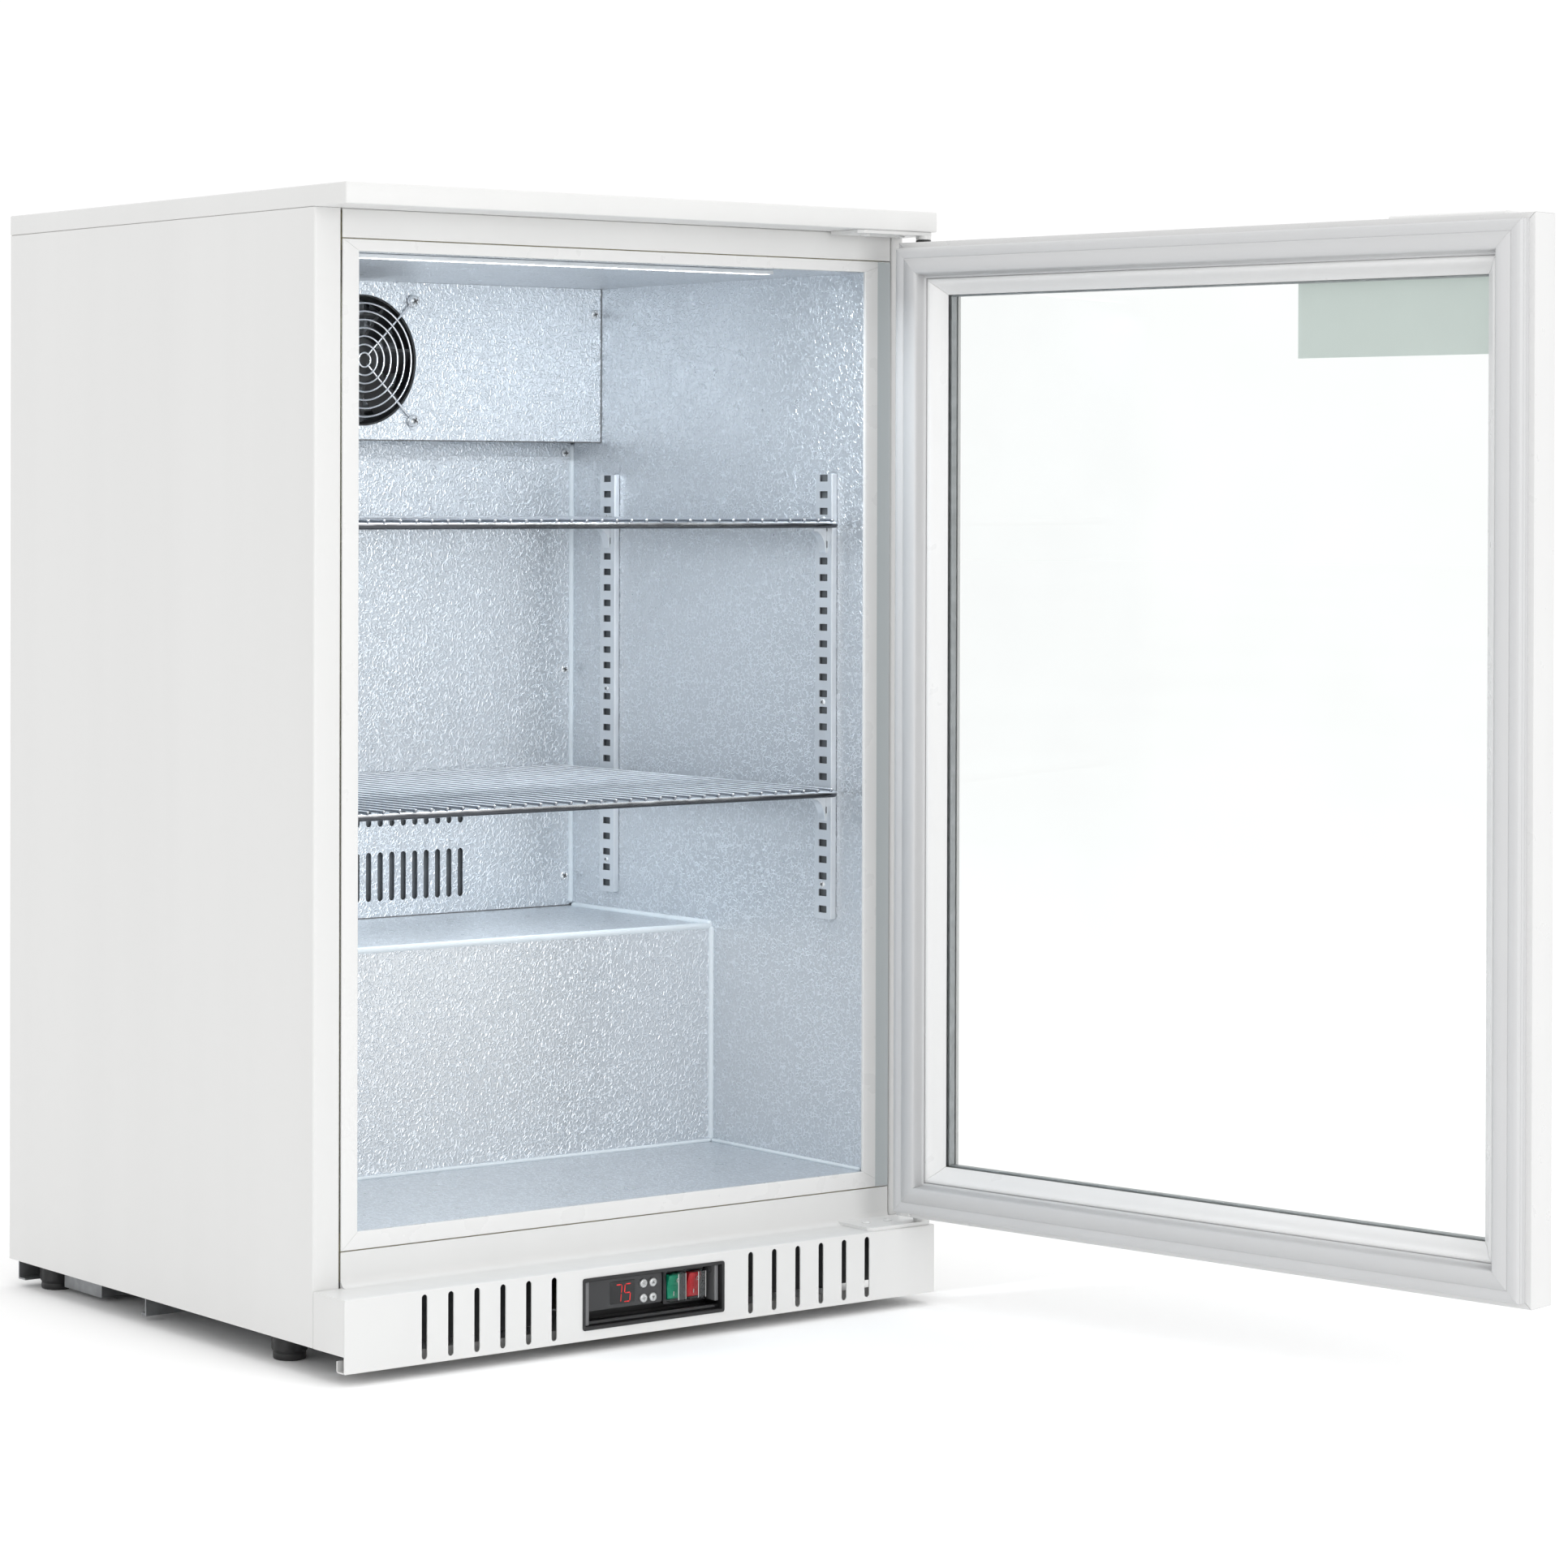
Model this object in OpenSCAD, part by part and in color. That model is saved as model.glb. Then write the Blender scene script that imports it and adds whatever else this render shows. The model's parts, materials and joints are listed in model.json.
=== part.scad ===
// Undercounter back-bar refrigerator with one glass door, shown with the door standing open.
// Origin: floor level, centre of the cabinet's footprint. +Z up, the door side faces -Y.

/* [Cabinet] */
// Width of the cabinet and of its worktop
body_w = 600; // [560:5:640]
// Depth of the cabinet behind its front face
body_d = 474; // [440:2:520]
// Height of the worktop's upper face above the floor
total_h = 920; // [880:5:960]
// Thickness of the worktop
worktop_t = 17; // [12:1:30]
// How far the worktop and the kick grille stand in front of the cabinet
overhang = 43.5; // [40:0.5:60]
// Height of the outer shell's lower edge above the floor
shell_z = 23; // [18:1:40]
// Thickness of an insulated side wall
wall_t = 35; // [32:1:60]
// Thickness of the insulated rear wall and of the step's top
rear_wall_t = 40; // [34:1:60]
// Width of the front post on the free side of the door
post_w = 25; // [20:1:35]
// Width of the front post on the hinge side of the door
hinge_post_w = 13; // [12:1:30]

/* [Cavity] */
// Height of the cavity floor above the floor
cav_z0 = 108; // [100:1:130]
// Height of the cavity ceiling above the floor
cav_z1 = 870; // [800:5:880]
// Height of the step over the machine compartment
step_h = 193; // [150:1:220]
// Depth of the step, measured from the cavity's rear wall
step_d = 221; // [180:1:240]

/* [Door] */
// Angle at which the door stands open
door_open = 100.6; // [0:0.2:110]
// Thickness of the door leaf
door_t = 30; // [28:1:36]
// Width of the visible frame around the glass
frame_w = 44.6; // [36:0.2:60]
// Gap between the closed door leaf and the cabinet, filled by the gasket
gasket_gap = 12.5; // [10:0.5:16]

/* [Shelves] */
// Height of the upper shelf's top
shelf_hi = 662; // [560:1:680]
// Height of the lower shelf's top
shelf_lo = 433; // [360:1:440]
// Number of long wires in a shelf
shelf_wires = 33; // [21:2:41]

/* [Grille and controls] */
// Height of the kick grille's upper edge
grille_z1 = 66.8; // [60:0.2:80]
// Height of the kick grille's lower edge
grille_z0 = 9.7; // [8:0.1:16]
// Width of the control housing
panel_w = 144; // [130:2:180]

/* [Hidden] */
$fn = 48;

sheet = 1;
gap = 0.1;
hw = body_w / 2;
fy = -body_d / 2;
by = body_d / 2;
lip_y = fy - overhang;
top_z0 = total_h - worktop_t;
cav_x = hw - wall_t;
cav_y0 = fy + 8;
foam_y0 = fy + 15;
cav_y1 = by - rear_wall_t;
step_y = cav_y1 - step_d;
step_z = cav_z0 + step_h;

// breaker strips around the opening
breaker_xl = hw - post_w - 1.4;
breaker_xr = hw - hinge_post_w - 1.4;
mouth_x = cav_x - 7;
breaker_z0 = cav_z0 - 13;
breaker_z1 = cav_z1 + 9.5;
breaker_t = 1.5;

// machine compartment under the step
step_foam_t = 47;
mach_y0 = step_y + step_foam_t;
mach_z1 = step_z - rear_wall_t;

// evaporator cover and the duct panel below it
evap_y = cav_y1 - 57;
evap_z0 = cav_z1 - 140;
fan_z = cav_z1 - 70;
fan_hole_r = 58;
fan_pitch = 53;
duct_y = cav_y1 - 13;
duct_x = cav_x - 2;
slot_rows = [step_z + 37, step_z + 104];
duct_slots = 23;
duct_pitch = 12.6;
duct_screw_z = [step_z + 28, step_z + 219, evap_z0 - 10];

// light strip at the front of the ceiling, set towards the left
led_x0 = -cav_x + 19;
led_x1 = cav_x - 93;
led_y0 = cav_y0 + 10;
led_w = 12;
led_h = 4;

// shelf rails on the side walls
rail_w = 22;
rail_t = 6;
rail_slot_w = 10.4;
rail_slot_h = 6;
rail_z0 = step_z + 18;
rail_z1 = evap_z0 - 30;
rail_ys = [fy + 55, fy + 359.6];
rail_pitch = 14.2;
rail_x = cav_x - rail_t;
shelf_x = cav_x - 9;
shelf_y0 = fy + 26;
shelf_y1 = duct_y - 6;
rod_r = 3;
side_rod_r = 2.6;
wire_r = 1.5;
rod_drop = 2 * wire_r + rod_r - 0.6;

// door leaf, drawn closed and then swung about its pin
door_x = hw - 1;
door_z0 = grille_z1 + 9.1;
door_z1 = top_z0 - 9.5;
door_y = fy - gasket_gap;
pin_x = hw - 9;
pin_y = fy - 36;
pin_r = 3.5;
bush_bore_r = 3.55;
bush_r = 5.5;
bush_l = 20;
bush_flange_r = 6.4;
bush_flange_t = 3;
hinge_plate_t = 3;
glass_in = 10.7;
glass_t = 4;
spacer_t = 7;
seat_w = 31;
label_w = 176;
label_h = 59;

// kick grille and the controls in it
grille_slot_x0 = 100;
grille_slot_pitch = 25;
grille_slot_w = 5.4;
grille_slot_z0 = grille_z0 + 3.4;
grille_slot_z1 = grille_z1 - 3.4;
panel_z0 = grille_z0 + 8.1;
panel_z1 = grille_z1 - 7.5;
panel_depth = 22;
fascia_y = lip_y + 10;
fascia_x0 = -63;
fascia_x1 = 15.6;
fascia_z0 = panel_z0 + 12.7;
fascia_z1 = panel_z1 - 5.3;
button_r = 3.6;
button_pts = [[-3.8, 47.4], [5.8, 47.4], [-3.8, 35.4], [5.8, 35.4]];
rocker_xs = [27, 47.5];
rocker_z = 42;
rocker_w = 12.6;
rocker_l = 20;
bezel_w = 20.4;
bezel_l = 28;
pivot_y = fascia_y + 3;
pivot_r = 1;

// feet
foot_x = hw - 28;
foot_ys = [fy + 75, by - 34];
foot_r = 14.5;
foot_h = 21;
stem_r = 5;

module slab(x0, x1, y0, y1, z0, z1) {
    translate([x0, y0, z0]) cube([x1 - x0, y1 - y0, z1 - z0]);
}

module ring_xz(x, z0, z1, w, t0, t1) {
    // rectangular ring standing in the XZ plane, t measured outwards from the plane y = 0
    rotate([90, 0, 0]) translate([0, 0, t0]) linear_extrude(t1 - t0) difference() {
        translate([-x, z0]) square([2 * x, z1 - z0]);
        translate([-x + w, z0 + w]) square([2 * (x - w), z1 - z0 - 2 * w]);
    }
}

module slot_hole(x, z0, z1, w) {
    // upright slot with round ends, drawn in the XZ plane
    translate([x - w / 2, z0 + w / 2]) square([w, z1 - z0 - w]);
    translate([x, z0 + w / 2]) circle(d = w);
    translate([x, z1 - w / 2]) circle(d = w);
}

module tube_path(pts, r) {
    // straight runs of tube with round elbows
    for (i = [0 : len(pts) - 2]) {
        d = pts[i + 1] - pts[i];
        l = norm(d);
        translate(pts[i]) rotate([0, acos(d[2] / l), atan2(d[1], d[0])]) cylinder(r = r, h = l);
    }
    for (i = [1 : len(pts) - 2]) translate(pts[i]) sphere(r = r);
}

module screw_head(r) {
    // pan head along +Z, its seat at z = 0
    cylinder(r = r, h = 0.8);
    translate([0, 0, 0.8]) cylinder(r1 = r, r2 = 0.62 * r, h = 1.1);
}

// ---- outer shell ----

module worktop() {
    color("whitesmoke") difference() {
        slab(-hw, hw, lip_y, by, top_z0, total_h);
        slab(-hw + 1.2, hw - 1.2, lip_y + 1.2, by - 1.2, top_z0 + 1.2, total_h - 1.2);
        slab(-hw + 14, hw - 14, fy + 14, by - 14, top_z0 - 1, top_z0 + 2);
    }
}

module side_panel(s) {
    // s is -1 for the left side and 1 for the right side, where the hinges are
    w = s > 0 ? hinge_post_w : post_w;
    color("gainsboro") mirror([s > 0 ? 1 : 0, 0, 0]) {
        slab(-hw, -hw + sheet, fy, by, shell_z, top_z0);
        slab(-hw, -hw + w, fy, fy + sheet, shell_z, top_z0);
        slab(-hw + w - sheet, -hw + w, fy, fy + 12, shell_z, top_z0);
        slab(-hw, -hw + 16, by - sheet, by, shell_z, top_z0);
        slab(-hw, -hw + 13, fy, by, shell_z, shell_z + sheet);
    }
}
module side_panel_left() { side_panel(-1); }
module side_panel_right() { side_panel(1); }

module rear_panel() {
    color("gainsboro") difference() {
        slab(-hw + 16 + gap, hw - 16 - gap, by - sheet, by, shell_z, top_z0);
        // louvre openings of the machine compartment
        for (i = [0 : 15], row = [0, 1])
            translate([0, by + 1, 0]) rotate([90, 0, 0]) linear_extrude(3)
                slot_hole(-206 + i * 27, shell_z + 40 + row * 92, shell_z + 116 + row * 92, 7);
        translate([-252, by + 1, shell_z + 30]) rotate([90, 0, 0]) cylinder(r = 9, h = 3);
    }
}

module base_pan() {
    x = hw - sheet - gap;
    y = by - sheet - gap;
    color("dimgray") difference() {
        union() {
            slab(-x, x, fy + 12.2, y, shell_z + sheet + gap, shell_z + 2.5);
            slab(-x, -x + 1.4, fy + 13, y, shell_z + 2, shell_z + 20);
            slab(x - 1.4, x, fy + 13, y, shell_z + 2, shell_z + 20);
            for (sx = [-1, 1], fyy = foot_ys)
                translate([sx * foot_x, fyy, shell_z + 2]) cylinder(r = 9, h = 12);
        }
        for (sx = [-1, 1], fyy = foot_ys)
            translate([sx * foot_x, fyy, 0]) cylinder(r = stem_r + 0.06, h = 90);
        // air intake under the cavity floor
        for (i = [0 : 9])
            slab(-230 + i * 48, -206 + i * 48, mach_y0 + 70, mach_y0 + 76, shell_z, shell_z + 5);
    }
}

module base_brackets() {
    z0 = 4;
    z1 = shell_z + sheet;
    x = hw - 13;
    color("dimgray") {
        // cross member with a rolled lower hem
        slab(-x, x, mach_y0 + 8, mach_y0 + 9.5, z0 + 1, z1);
        slab(-x, x, mach_y0 + 8, mach_y0 + 15, z0, z0 + 2.5);
        // rear cross member
        slab(-hw + 6, hw - 6, by - 8, by - 6.5, z0 + 2, z1 - 1.1);
        slab(-hw + 6, hw - 6, by - 18, by - 6.5, z0 + 2, z0 + 3.5);
    }
}

module drip_tray() {
    color("dimgray") difference() {
        slab(-276, -90, mach_y0 + 98, mach_y0 + 160, 4, shell_z - 1);
        slab(-274.5, -91.5, mach_y0 + 99.5, mach_y0 + 158.5, 5.5, shell_z);
    }
}

module front_trim_panels() {
    x0 = -hw + post_w + 1;
    x1 = hw - hinge_post_w - 1;
    color("white") {
        // header between the worktop and the opening
        slab(x0, x1, fy + 0.4, fy + 1.4, breaker_z1 + 0.6, top_z0 - gap);
        slab(x0, x1, fy + 1, fy + 12, top_z0 - 1.1, top_z0 - gap);
        // sill between the opening and the grille
        slab(x0, x1, fy + 0.4, fy + 1.4, grille_z1 + 0.3, breaker_z0 - 0.6);
        slab(x0, x1, fy + 1, fy + 14, grille_z1 + 0.3, grille_z1 + 1.3);
    }
}

module breaker_wedge(side) {
    // side 0 to 3: bottom, right, top, left, as trapezoids that meet on the mitre lines
    xl = -breaker_xl;
    xr = breaker_xr;
    xi = mouth_x;
    zs = [breaker_z0, breaker_z1];
    zi = [cav_z0 + 1, cav_z1];
    g = 0.08;
    if (side == 0) polygon([[xl + g, zs[0]], [xr - g, zs[0]], [xi - g, zi[0]], [-xi + g, zi[0]]]);
    if (side == 2) polygon([[xl + g, zs[1]], [xr - g, zs[1]], [xi - g, zi[1]], [-xi + g, zi[1]]]);
    if (side == 1) polygon([[xr, zs[0] + g], [xr, zs[1] - g], [xi, zi[1] - g], [xi, zi[0] + g]]);
    if (side == 3) polygon([[xl, zs[0] + g], [xl, zs[1] - g], [-xi, zi[1] - g], [-xi, zi[0] + g]]);
}

module breaker_frame() {
    z0 = cav_z0 + 1;
    x = mouth_x;
    d = cav_y0 - gap;
    color("white") {
        for (side = [0 : 3]) translate([0, fy + breaker_t, 0]) rotate([90, 0, 0])
            linear_extrude(breaker_t) breaker_wedge(side);
        // returns that line the mouth of the cavity, fused to their strips
        slab(-x + 0.3, x - 0.3, fy + 1, d, z0 - 1.5, z0 - 0.05);
        slab(-x + 0.3, x - 0.3, fy + 1, d, cav_z1 + 0.05, cav_z1 + 1.5);
        slab(x + 0.05, x + 1.5, fy + 1, d, z0 + 0.3, cav_z1 - 0.3);
        slab(-x - 1.5, -x - 0.05, fy + 1, d, z0 + 0.3, cav_z1 - 0.3);
    }
}

// ---- liner and insulation ----

module liner_side() {
    y1 = step_y + sheet;
    y2 = cav_y1 - gap;
    translate([cav_x, 0, 0]) rotate([90, 0, 90]) linear_extrude(sheet) polygon([
        [cav_y0, cav_z0 - 1], [y1, cav_z0 - 1], [y1, step_z - 1], [y2, step_z - 1],
        [y2, cav_z1 + 1], [cav_y0, cav_z1 + 1]
    ]);
}
module liner_left() { color("lightsteelblue") mirror([1, 0, 0]) liner_side(); }
module liner_right() { color("lightsteelblue") liner_side(); }
module liner_ceiling() {
    color("lightsteelblue")
        slab(-cav_x + gap, cav_x - gap, cav_y0, cav_y1 - gap, cav_z1, cav_z1 + sheet);
}
module liner_rear() {
    color("lightsteelblue") slab(-cav_x, cav_x, cav_y1, cav_y1 + sheet, step_z - 1, cav_z1 + 1);
}
module liner_floor() {
    y0 = cav_y0;
    y1 = cav_y1 - gap;
    color("lightsteelblue") rotate([90, 0, 90]) translate([0, 0, -cav_x + gap])
        linear_extrude(2 * (cav_x - gap)) polygon([
            [y0, cav_z0], [step_y, cav_z0], [step_y, step_z], [y1, step_z],
            [y1, step_z - sheet], [step_y + sheet, step_z - sheet],
            [step_y + sheet, cav_z0 - sheet], [y0, cav_z0 - sheet]
        ]);
}

module insulation() {
    x0 = cav_x + sheet + gap;
    x1 = hw - sheet - gap;
    y0 = foam_y0;
    y1 = by - sheet - gap;
    z1 = top_z0 - gap;
    floor_z0 = grille_z1 + 1.6;
    color("khaki") {
        for (s = [0, 1]) mirror([s, 0, 0]) {
            slab(x0, x1, y0, mach_y0 - gap, floor_z0, z1);
            slab(x0, x1, mach_y0 + gap, y1, mach_z1, z1);
        }
        xi = cav_x + sheet;
        slab(-xi, xi, cav_y1 + sheet + gap, y1, mach_z1, z1);
        slab(-xi, xi, y0, cav_y1 + sheet - gap, cav_z1 + sheet + gap, z1);
        slab(-xi, xi, y0, mach_y0 - gap, floor_z0, cav_z0 - sheet - gap);
        slab(-xi, xi, step_y + sheet + gap, mach_y0 - gap, cav_z0, step_z - sheet - gap);
        slab(-xi, xi, mach_y0 + gap, cav_y1 + sheet - gap, mach_z1, step_z - sheet - gap);
        // core board of the worktop
        slab(-hw + 1.3, hw - 1.3, lip_y + 1.3, by - 1.3, top_z0 + 1.3, total_h - 1.3);
    }
}

// ---- evaporator end ----

module evaporator_cover() {
    color("lightsteelblue") difference() {
        union() {
            slab(-cav_x + 0.5, cav_x - 0.5, evap_y, evap_y + sheet, evap_z0, cav_z1 - gap);
            slab(-cav_x + 0.5, cav_x - 0.5, evap_y, duct_y - gap, evap_z0, evap_z0 + sheet);
            for (s = [-1, 1])
                slab(s * (cav_x - 1) - 0.5, s * (cav_x - 1) + 0.5, evap_y, duct_y - gap, evap_z0, cav_z1 - 1);
        }
        translate([0, evap_y - 1, fan_z]) rotate([-90, 0, 0]) cylinder(r = fan_hole_r, h = 4);
    }
}

module duct_panel() {
    z0 = step_z + 0.3;
    z1 = evap_z0 - 0.3;
    color("lightsteelblue") difference() {
        union() {
            slab(-duct_x, duct_x, duct_y, duct_y + sheet, z0, z1);
            slab(-duct_x, duct_x, duct_y - 0.8, duct_y + 0.2, z1 - 13, z1);
            for (s = [-1, 1])
                slab(s * (duct_x - 0.5) - 0.5, s * (duct_x - 0.5) + 0.5, duct_y, cav_y1 - gap, z0, z1);
            slab(-duct_x, duct_x, duct_y, cav_y1 - gap, z0, z0 + sheet);
        }
        for (z = slot_rows) translate([0, duct_y + 3, 0]) rotate([90, 0, 0]) linear_extrude(5)
            for (i = [0 : duct_slots - 1])
                slot_hole((i - (duct_slots - 1) / 2) * duct_pitch, z - 22, z + 22, 5.8);
    }
}

module fan_guard() {
    color("silver") translate([0, evap_y - 3.4, fan_z]) rotate([-90, 0, 0]) {
        for (i = [1 : 7]) rotate_extrude() translate([7.3 * i - 1, 0]) circle(r = 0.9, $fn = 16);
        for (a = [45 : 90 : 315]) rotate([0, 0, a]) {
            translate([6.2, 0, 1.5]) rotate([0, 90, 0])
                cylinder(r = 1.1, h = fan_pitch * sqrt(2) - 11.4, $fn = 16);
            translate([fan_pitch * sqrt(2), 0, 1.5]) rotate_extrude()
                translate([4.6, 0]) circle(r = 1.1, $fn = 16);
        }
    }
}

module evaporator_fan_housing() {
    a = 59.5;
    y0 = evap_y + sheet + 0.2;
    color("black") difference() {
        union() {
            difference() {
                slab(-a, a, y0, y0 + 25, fan_z - a, fan_z + a);
                translate([0, y0 - 1, fan_z]) rotate([-90, 0, 0]) cylinder(r = 56.5, h = 30);
            }
            translate([0, y0 + 17, fan_z]) rotate([-90, 0, 0]) cylinder(r = 21, h = 7.4);
            for (t = [0 : 120 : 240]) translate([0, y0 + 21, fan_z]) rotate([0, t + 30, 0])
                slab(18, 58, 0, 2.8, -2.5, 2.5);
        }
        translate([0, y0 + 14, fan_z]) rotate([-90, 0, 0]) cylinder(r = 2.05, h = 8);
    }
}

module fan_rotor(r, hub_r, hub_l, blades, blade_w, pitch) {
    // rotor along +Z from z = 0, with its stub shaft behind it
    cylinder(r = hub_r, h = hub_l);
    for (i = [0 : blades - 1]) rotate([0, 0, i * 360 / blades]) intersection() {
        translate([hub_r - 2, 0, hub_l / 2]) rotate([pitch, 0, 0])
            translate([0, -blade_w / 2, -0.8]) cube([r, blade_w, 1.6]);
        translate([0, 0, 0.4]) cylinder(r = r, h = hub_l - 0.8);
    }
}

module evaporator_fan_blades() {
    y0 = evap_y + sheet + 2;
    color("black") translate([0, y0, fan_z]) rotate([-90, 0, 0]) {
        fan_rotor(54.5, 20, 13.5, 7, 26, 34);
        translate([0, 0, 13]) cylinder(r = 2, h = 7);
    }
}

module coil_block(l, w, h, fins, rows, cols) {
    // finned coil: fins across X, tubes along X
    for (i = [0 : fins - 1]) translate([-l / 2 + i * (l - 0.8) / (fins - 1), -w / 2, 0]) cube([0.8, w, h]);
    for (j = [0 : rows - 1], k = [0 : cols - 1])
        translate([-l / 2 - 6, (k - (cols - 1) / 2) * 20, h * (j + 0.5) / rows])
            rotate([0, 90, 0]) cylinder(r = 3.5, h = l + 12);
}

module evaporator_coil() {
    color("silver") translate([0, cav_y1 - 11, evap_z0 + 16]) coil_block(380, 17, 108, 22, 5, 1);
}

module led_profile() {
    color("silver") difference() {
        slab(led_x0, led_x1, led_y0, led_y0 + led_w, cav_z1 - led_h, cav_z1 - gap);
        slab(led_x0 + 1.2, led_x1 - 1.2, led_y0 + 1.2, led_y0 + led_w - 1.2,
             cav_z1 - led_h - 1, cav_z1 - 1.3);
    }
}

module led_lens() {
    color("white") slab(led_x0 + 1.5, led_x1 - 1.5, led_y0 + 1.3, led_y0 + led_w - 1.3,
                        cav_z1 - led_h - 0.4, cav_z1 - 1.6);
}

// ---- shelves ----

module shelf_rail() {
    // channel on the right wall, its open side against the liner
    n = floor((rail_z1 - rail_z0 - 8) / rail_pitch);
    difference() {
        slab(rail_x, cav_x - gap, -rail_w / 2, rail_w / 2, rail_z0, rail_z1);
        slab(rail_x + 1.2, cav_x + 1, -rail_w / 2 + 1.2, rail_w / 2 - 1.2, rail_z0 - 1, rail_z1 + 1);
        for (i = [0 : n]) translate([rail_x - 1, -rail_slot_w / 2, rail_z0 + 5 + i * rail_pitch])
            cube([3, rail_slot_w, rail_slot_h]);
    }
}

module shelf_rails() {
    color("lightgray") for (s = [0, 1], y = rail_ys) mirror([s, 0, 0]) translate([0, y, 0]) shelf_rail();
}

module shelf_clip(z) {
    // small gusset that hooks into a rail slot, its top under the shelf's side rod
    top = z - rod_drop - rod_r - 0.3;
    translate([rail_x - gap, 4.5, 0]) rotate([90, 0, 0]) linear_extrude(9) polygon([
        [0, top], [-14, top], [-14, top - 3], [-11, top - 8], [-5, top - 17], [-2, top - 22], [0, top - 22]
    ]);
}

module shelf_clips() {
    color("lightgray") for (s = [0, 1], y = rail_ys, z = [shelf_hi, shelf_lo])
        mirror([s, 0, 0]) translate([0, y, 0]) shelf_clip(z);
}

module wire_shelf(z) {
    // wires lie on two cross rods and a closed rim; z is the top of the wires
    zr = z - rod_drop;
    x = shelf_x - rod_r;
    y0 = shelf_y0 + rod_r;
    y1 = shelf_y1 - rod_r;
    color("silver") {
        for (y = [y0, (y0 + y1) / 2, y1])
            translate([-x - 1.3, y, zr]) rotate([0, 90, 0]) cylinder(r = rod_r, h = 2 * x + 2.6);
        for (s = [-1, 1])
            translate([s * x, y0 - 1.4, zr]) rotate([-90, 0, 0]) cylinder(r = side_rod_r, h = y1 - y0 + 2.8);
        for (i = [0 : shelf_wires - 1])
            translate([(2 * i / (shelf_wires - 1) - 1) * (x - 7), shelf_y0 + 0.5, z - wire_r])
                rotate([-90, 0, 0]) cylinder(r = wire_r, h = shelf_y1 - shelf_y0 - 1, $fn = 16);
    }
}
module shelf_upper() { wire_shelf(shelf_hi); }
module shelf_lower() { wire_shelf(shelf_lo); }

module panel_screws() {
    color("silver") {
        // evaporator cover and the fan guard's corners
        for (sx = [-1, 1]) translate([sx * (cav_x - 8), evap_y, cav_z1 - 23.5]) rotate([90, 0, 0])
            screw_head(3.6);
        for (sx = [-1, 1], sz = [-1, 1])
            translate([sx * fan_pitch, evap_y - 3.1, fan_z + sz * fan_pitch]) rotate([90, 0, 0]) {
                screw_head(5.2);
                translate([0, 0, -3.1]) cylinder(r = 2, h = 3.2);
            }
        // duct panel
        for (sx = [-1, 1], z = duct_screw_z)
            translate([sx * (cav_x - 9), duct_y - (z > evap_z0 - 13 ? 0.8 : 0), z])
                rotate([90, 0, 0]) screw_head(3.4);
        // shelf rails
        for (s = [0, 1], y = rail_ys, i = [2, 13, 24]) mirror([s, 0, 0])
            translate([rail_x, y, rail_z0 + 5 + i * rail_pitch - 4.1]) rotate([0, -90, 0]) screw_head(2.6);
    }
}

// ---- kick grille and controls ----

module grille_panel() {
    x = hw - 0.5;
    yb = fy - 0.2;
    color("white") difference() {
        union() {
            slab(-x, x, lip_y, lip_y + sheet, grille_z0, grille_z1);
            slab(-x, x, lip_y, yb, grille_z1 - sheet, grille_z1);
            for (s = [-1, 1])
                slab(s * (x - 0.5) - 0.5, s * (x - 0.5) + 0.5, lip_y, yb, shell_z, grille_z1);
            // hem along the lower edge
            slab(-x, x, lip_y, lip_y + 11, grille_z0, grille_z0 + sheet);
            slab(-x, x, lip_y + 10, lip_y + 11, grille_z0, grille_z0 + 9);
        }
        translate([0, lip_y + 2, 0]) rotate([90, 0, 0]) linear_extrude(3)
            for (s = [-1, 1], i = [0 : 5])
                slot_hole(s * (grille_slot_x0 + i * grille_slot_pitch), grille_slot_z0, grille_slot_z1,
                          grille_slot_w);
        slab(-panel_w / 2 + 1.5, panel_w / 2 - 1.5, lip_y - 1, lip_y + 2, panel_z0 + 1.5, panel_z1 - 1.5);
    }
}

module control_housing() {
    w = panel_w / 2;
    d = lip_y + panel_depth;
    color("black") difference() {
        union() {
            slab(-w, w, lip_y - 0.8, lip_y - 0.05, panel_z0, panel_z1);
            slab(-w + 1.6, w - 1.6, lip_y - 0.4, d, panel_z0 + 1.6, panel_z1 - 1.6);
        }
        slab(-w + 3, w - 3, lip_y - 2, d - 1.6, panel_z0 + 3, panel_z1 - 3);
        // cut-outs in the back wall for the controller and the two switches
        slab(fascia_x0 + 2, fascia_x1 - 2, d - 3, d + 1, fascia_z0 + 2, fascia_z1 - 2);
        for (x = rocker_xs) slab(x - 7, x + 7, d - 3, d + 1, rocker_z - 11, rocker_z + 11);
    }
}

module controller_body() {
    color("black") difference() {
        union() {
            slab(fascia_x0, fascia_x1, fascia_y, fascia_y + 10.3, fascia_z0, fascia_z1);
            slab(fascia_x0 + 2.2, fascia_x1 - 2.2, fascia_y + 9, fascia_y + 36,
                 fascia_z0 + 2.2, fascia_z1 - 2.2);
        }
        for (p = button_pts) translate([p[0], fascia_y - 1, p[1]]) rotate([-90, 0, 0])
            cylinder(r = button_r + 0.08, h = 6);
    }
}

module button(i) {
    p = button_pts[i];
    color("silver") translate([p[0], fascia_y - 1.8, p[1]]) rotate([-90, 0, 0]) {
        cylinder(r1 = button_r - 0.5, r2 = button_r, h = 0.5);
        translate([0, 0, 0.5]) cylinder(r = button_r, h = 4.2);
    }
}
module button_set() { button(0); }
module button_up() { button(1); }
module button_defrost() { button(2); }
module button_down() { button(3); }

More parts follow.
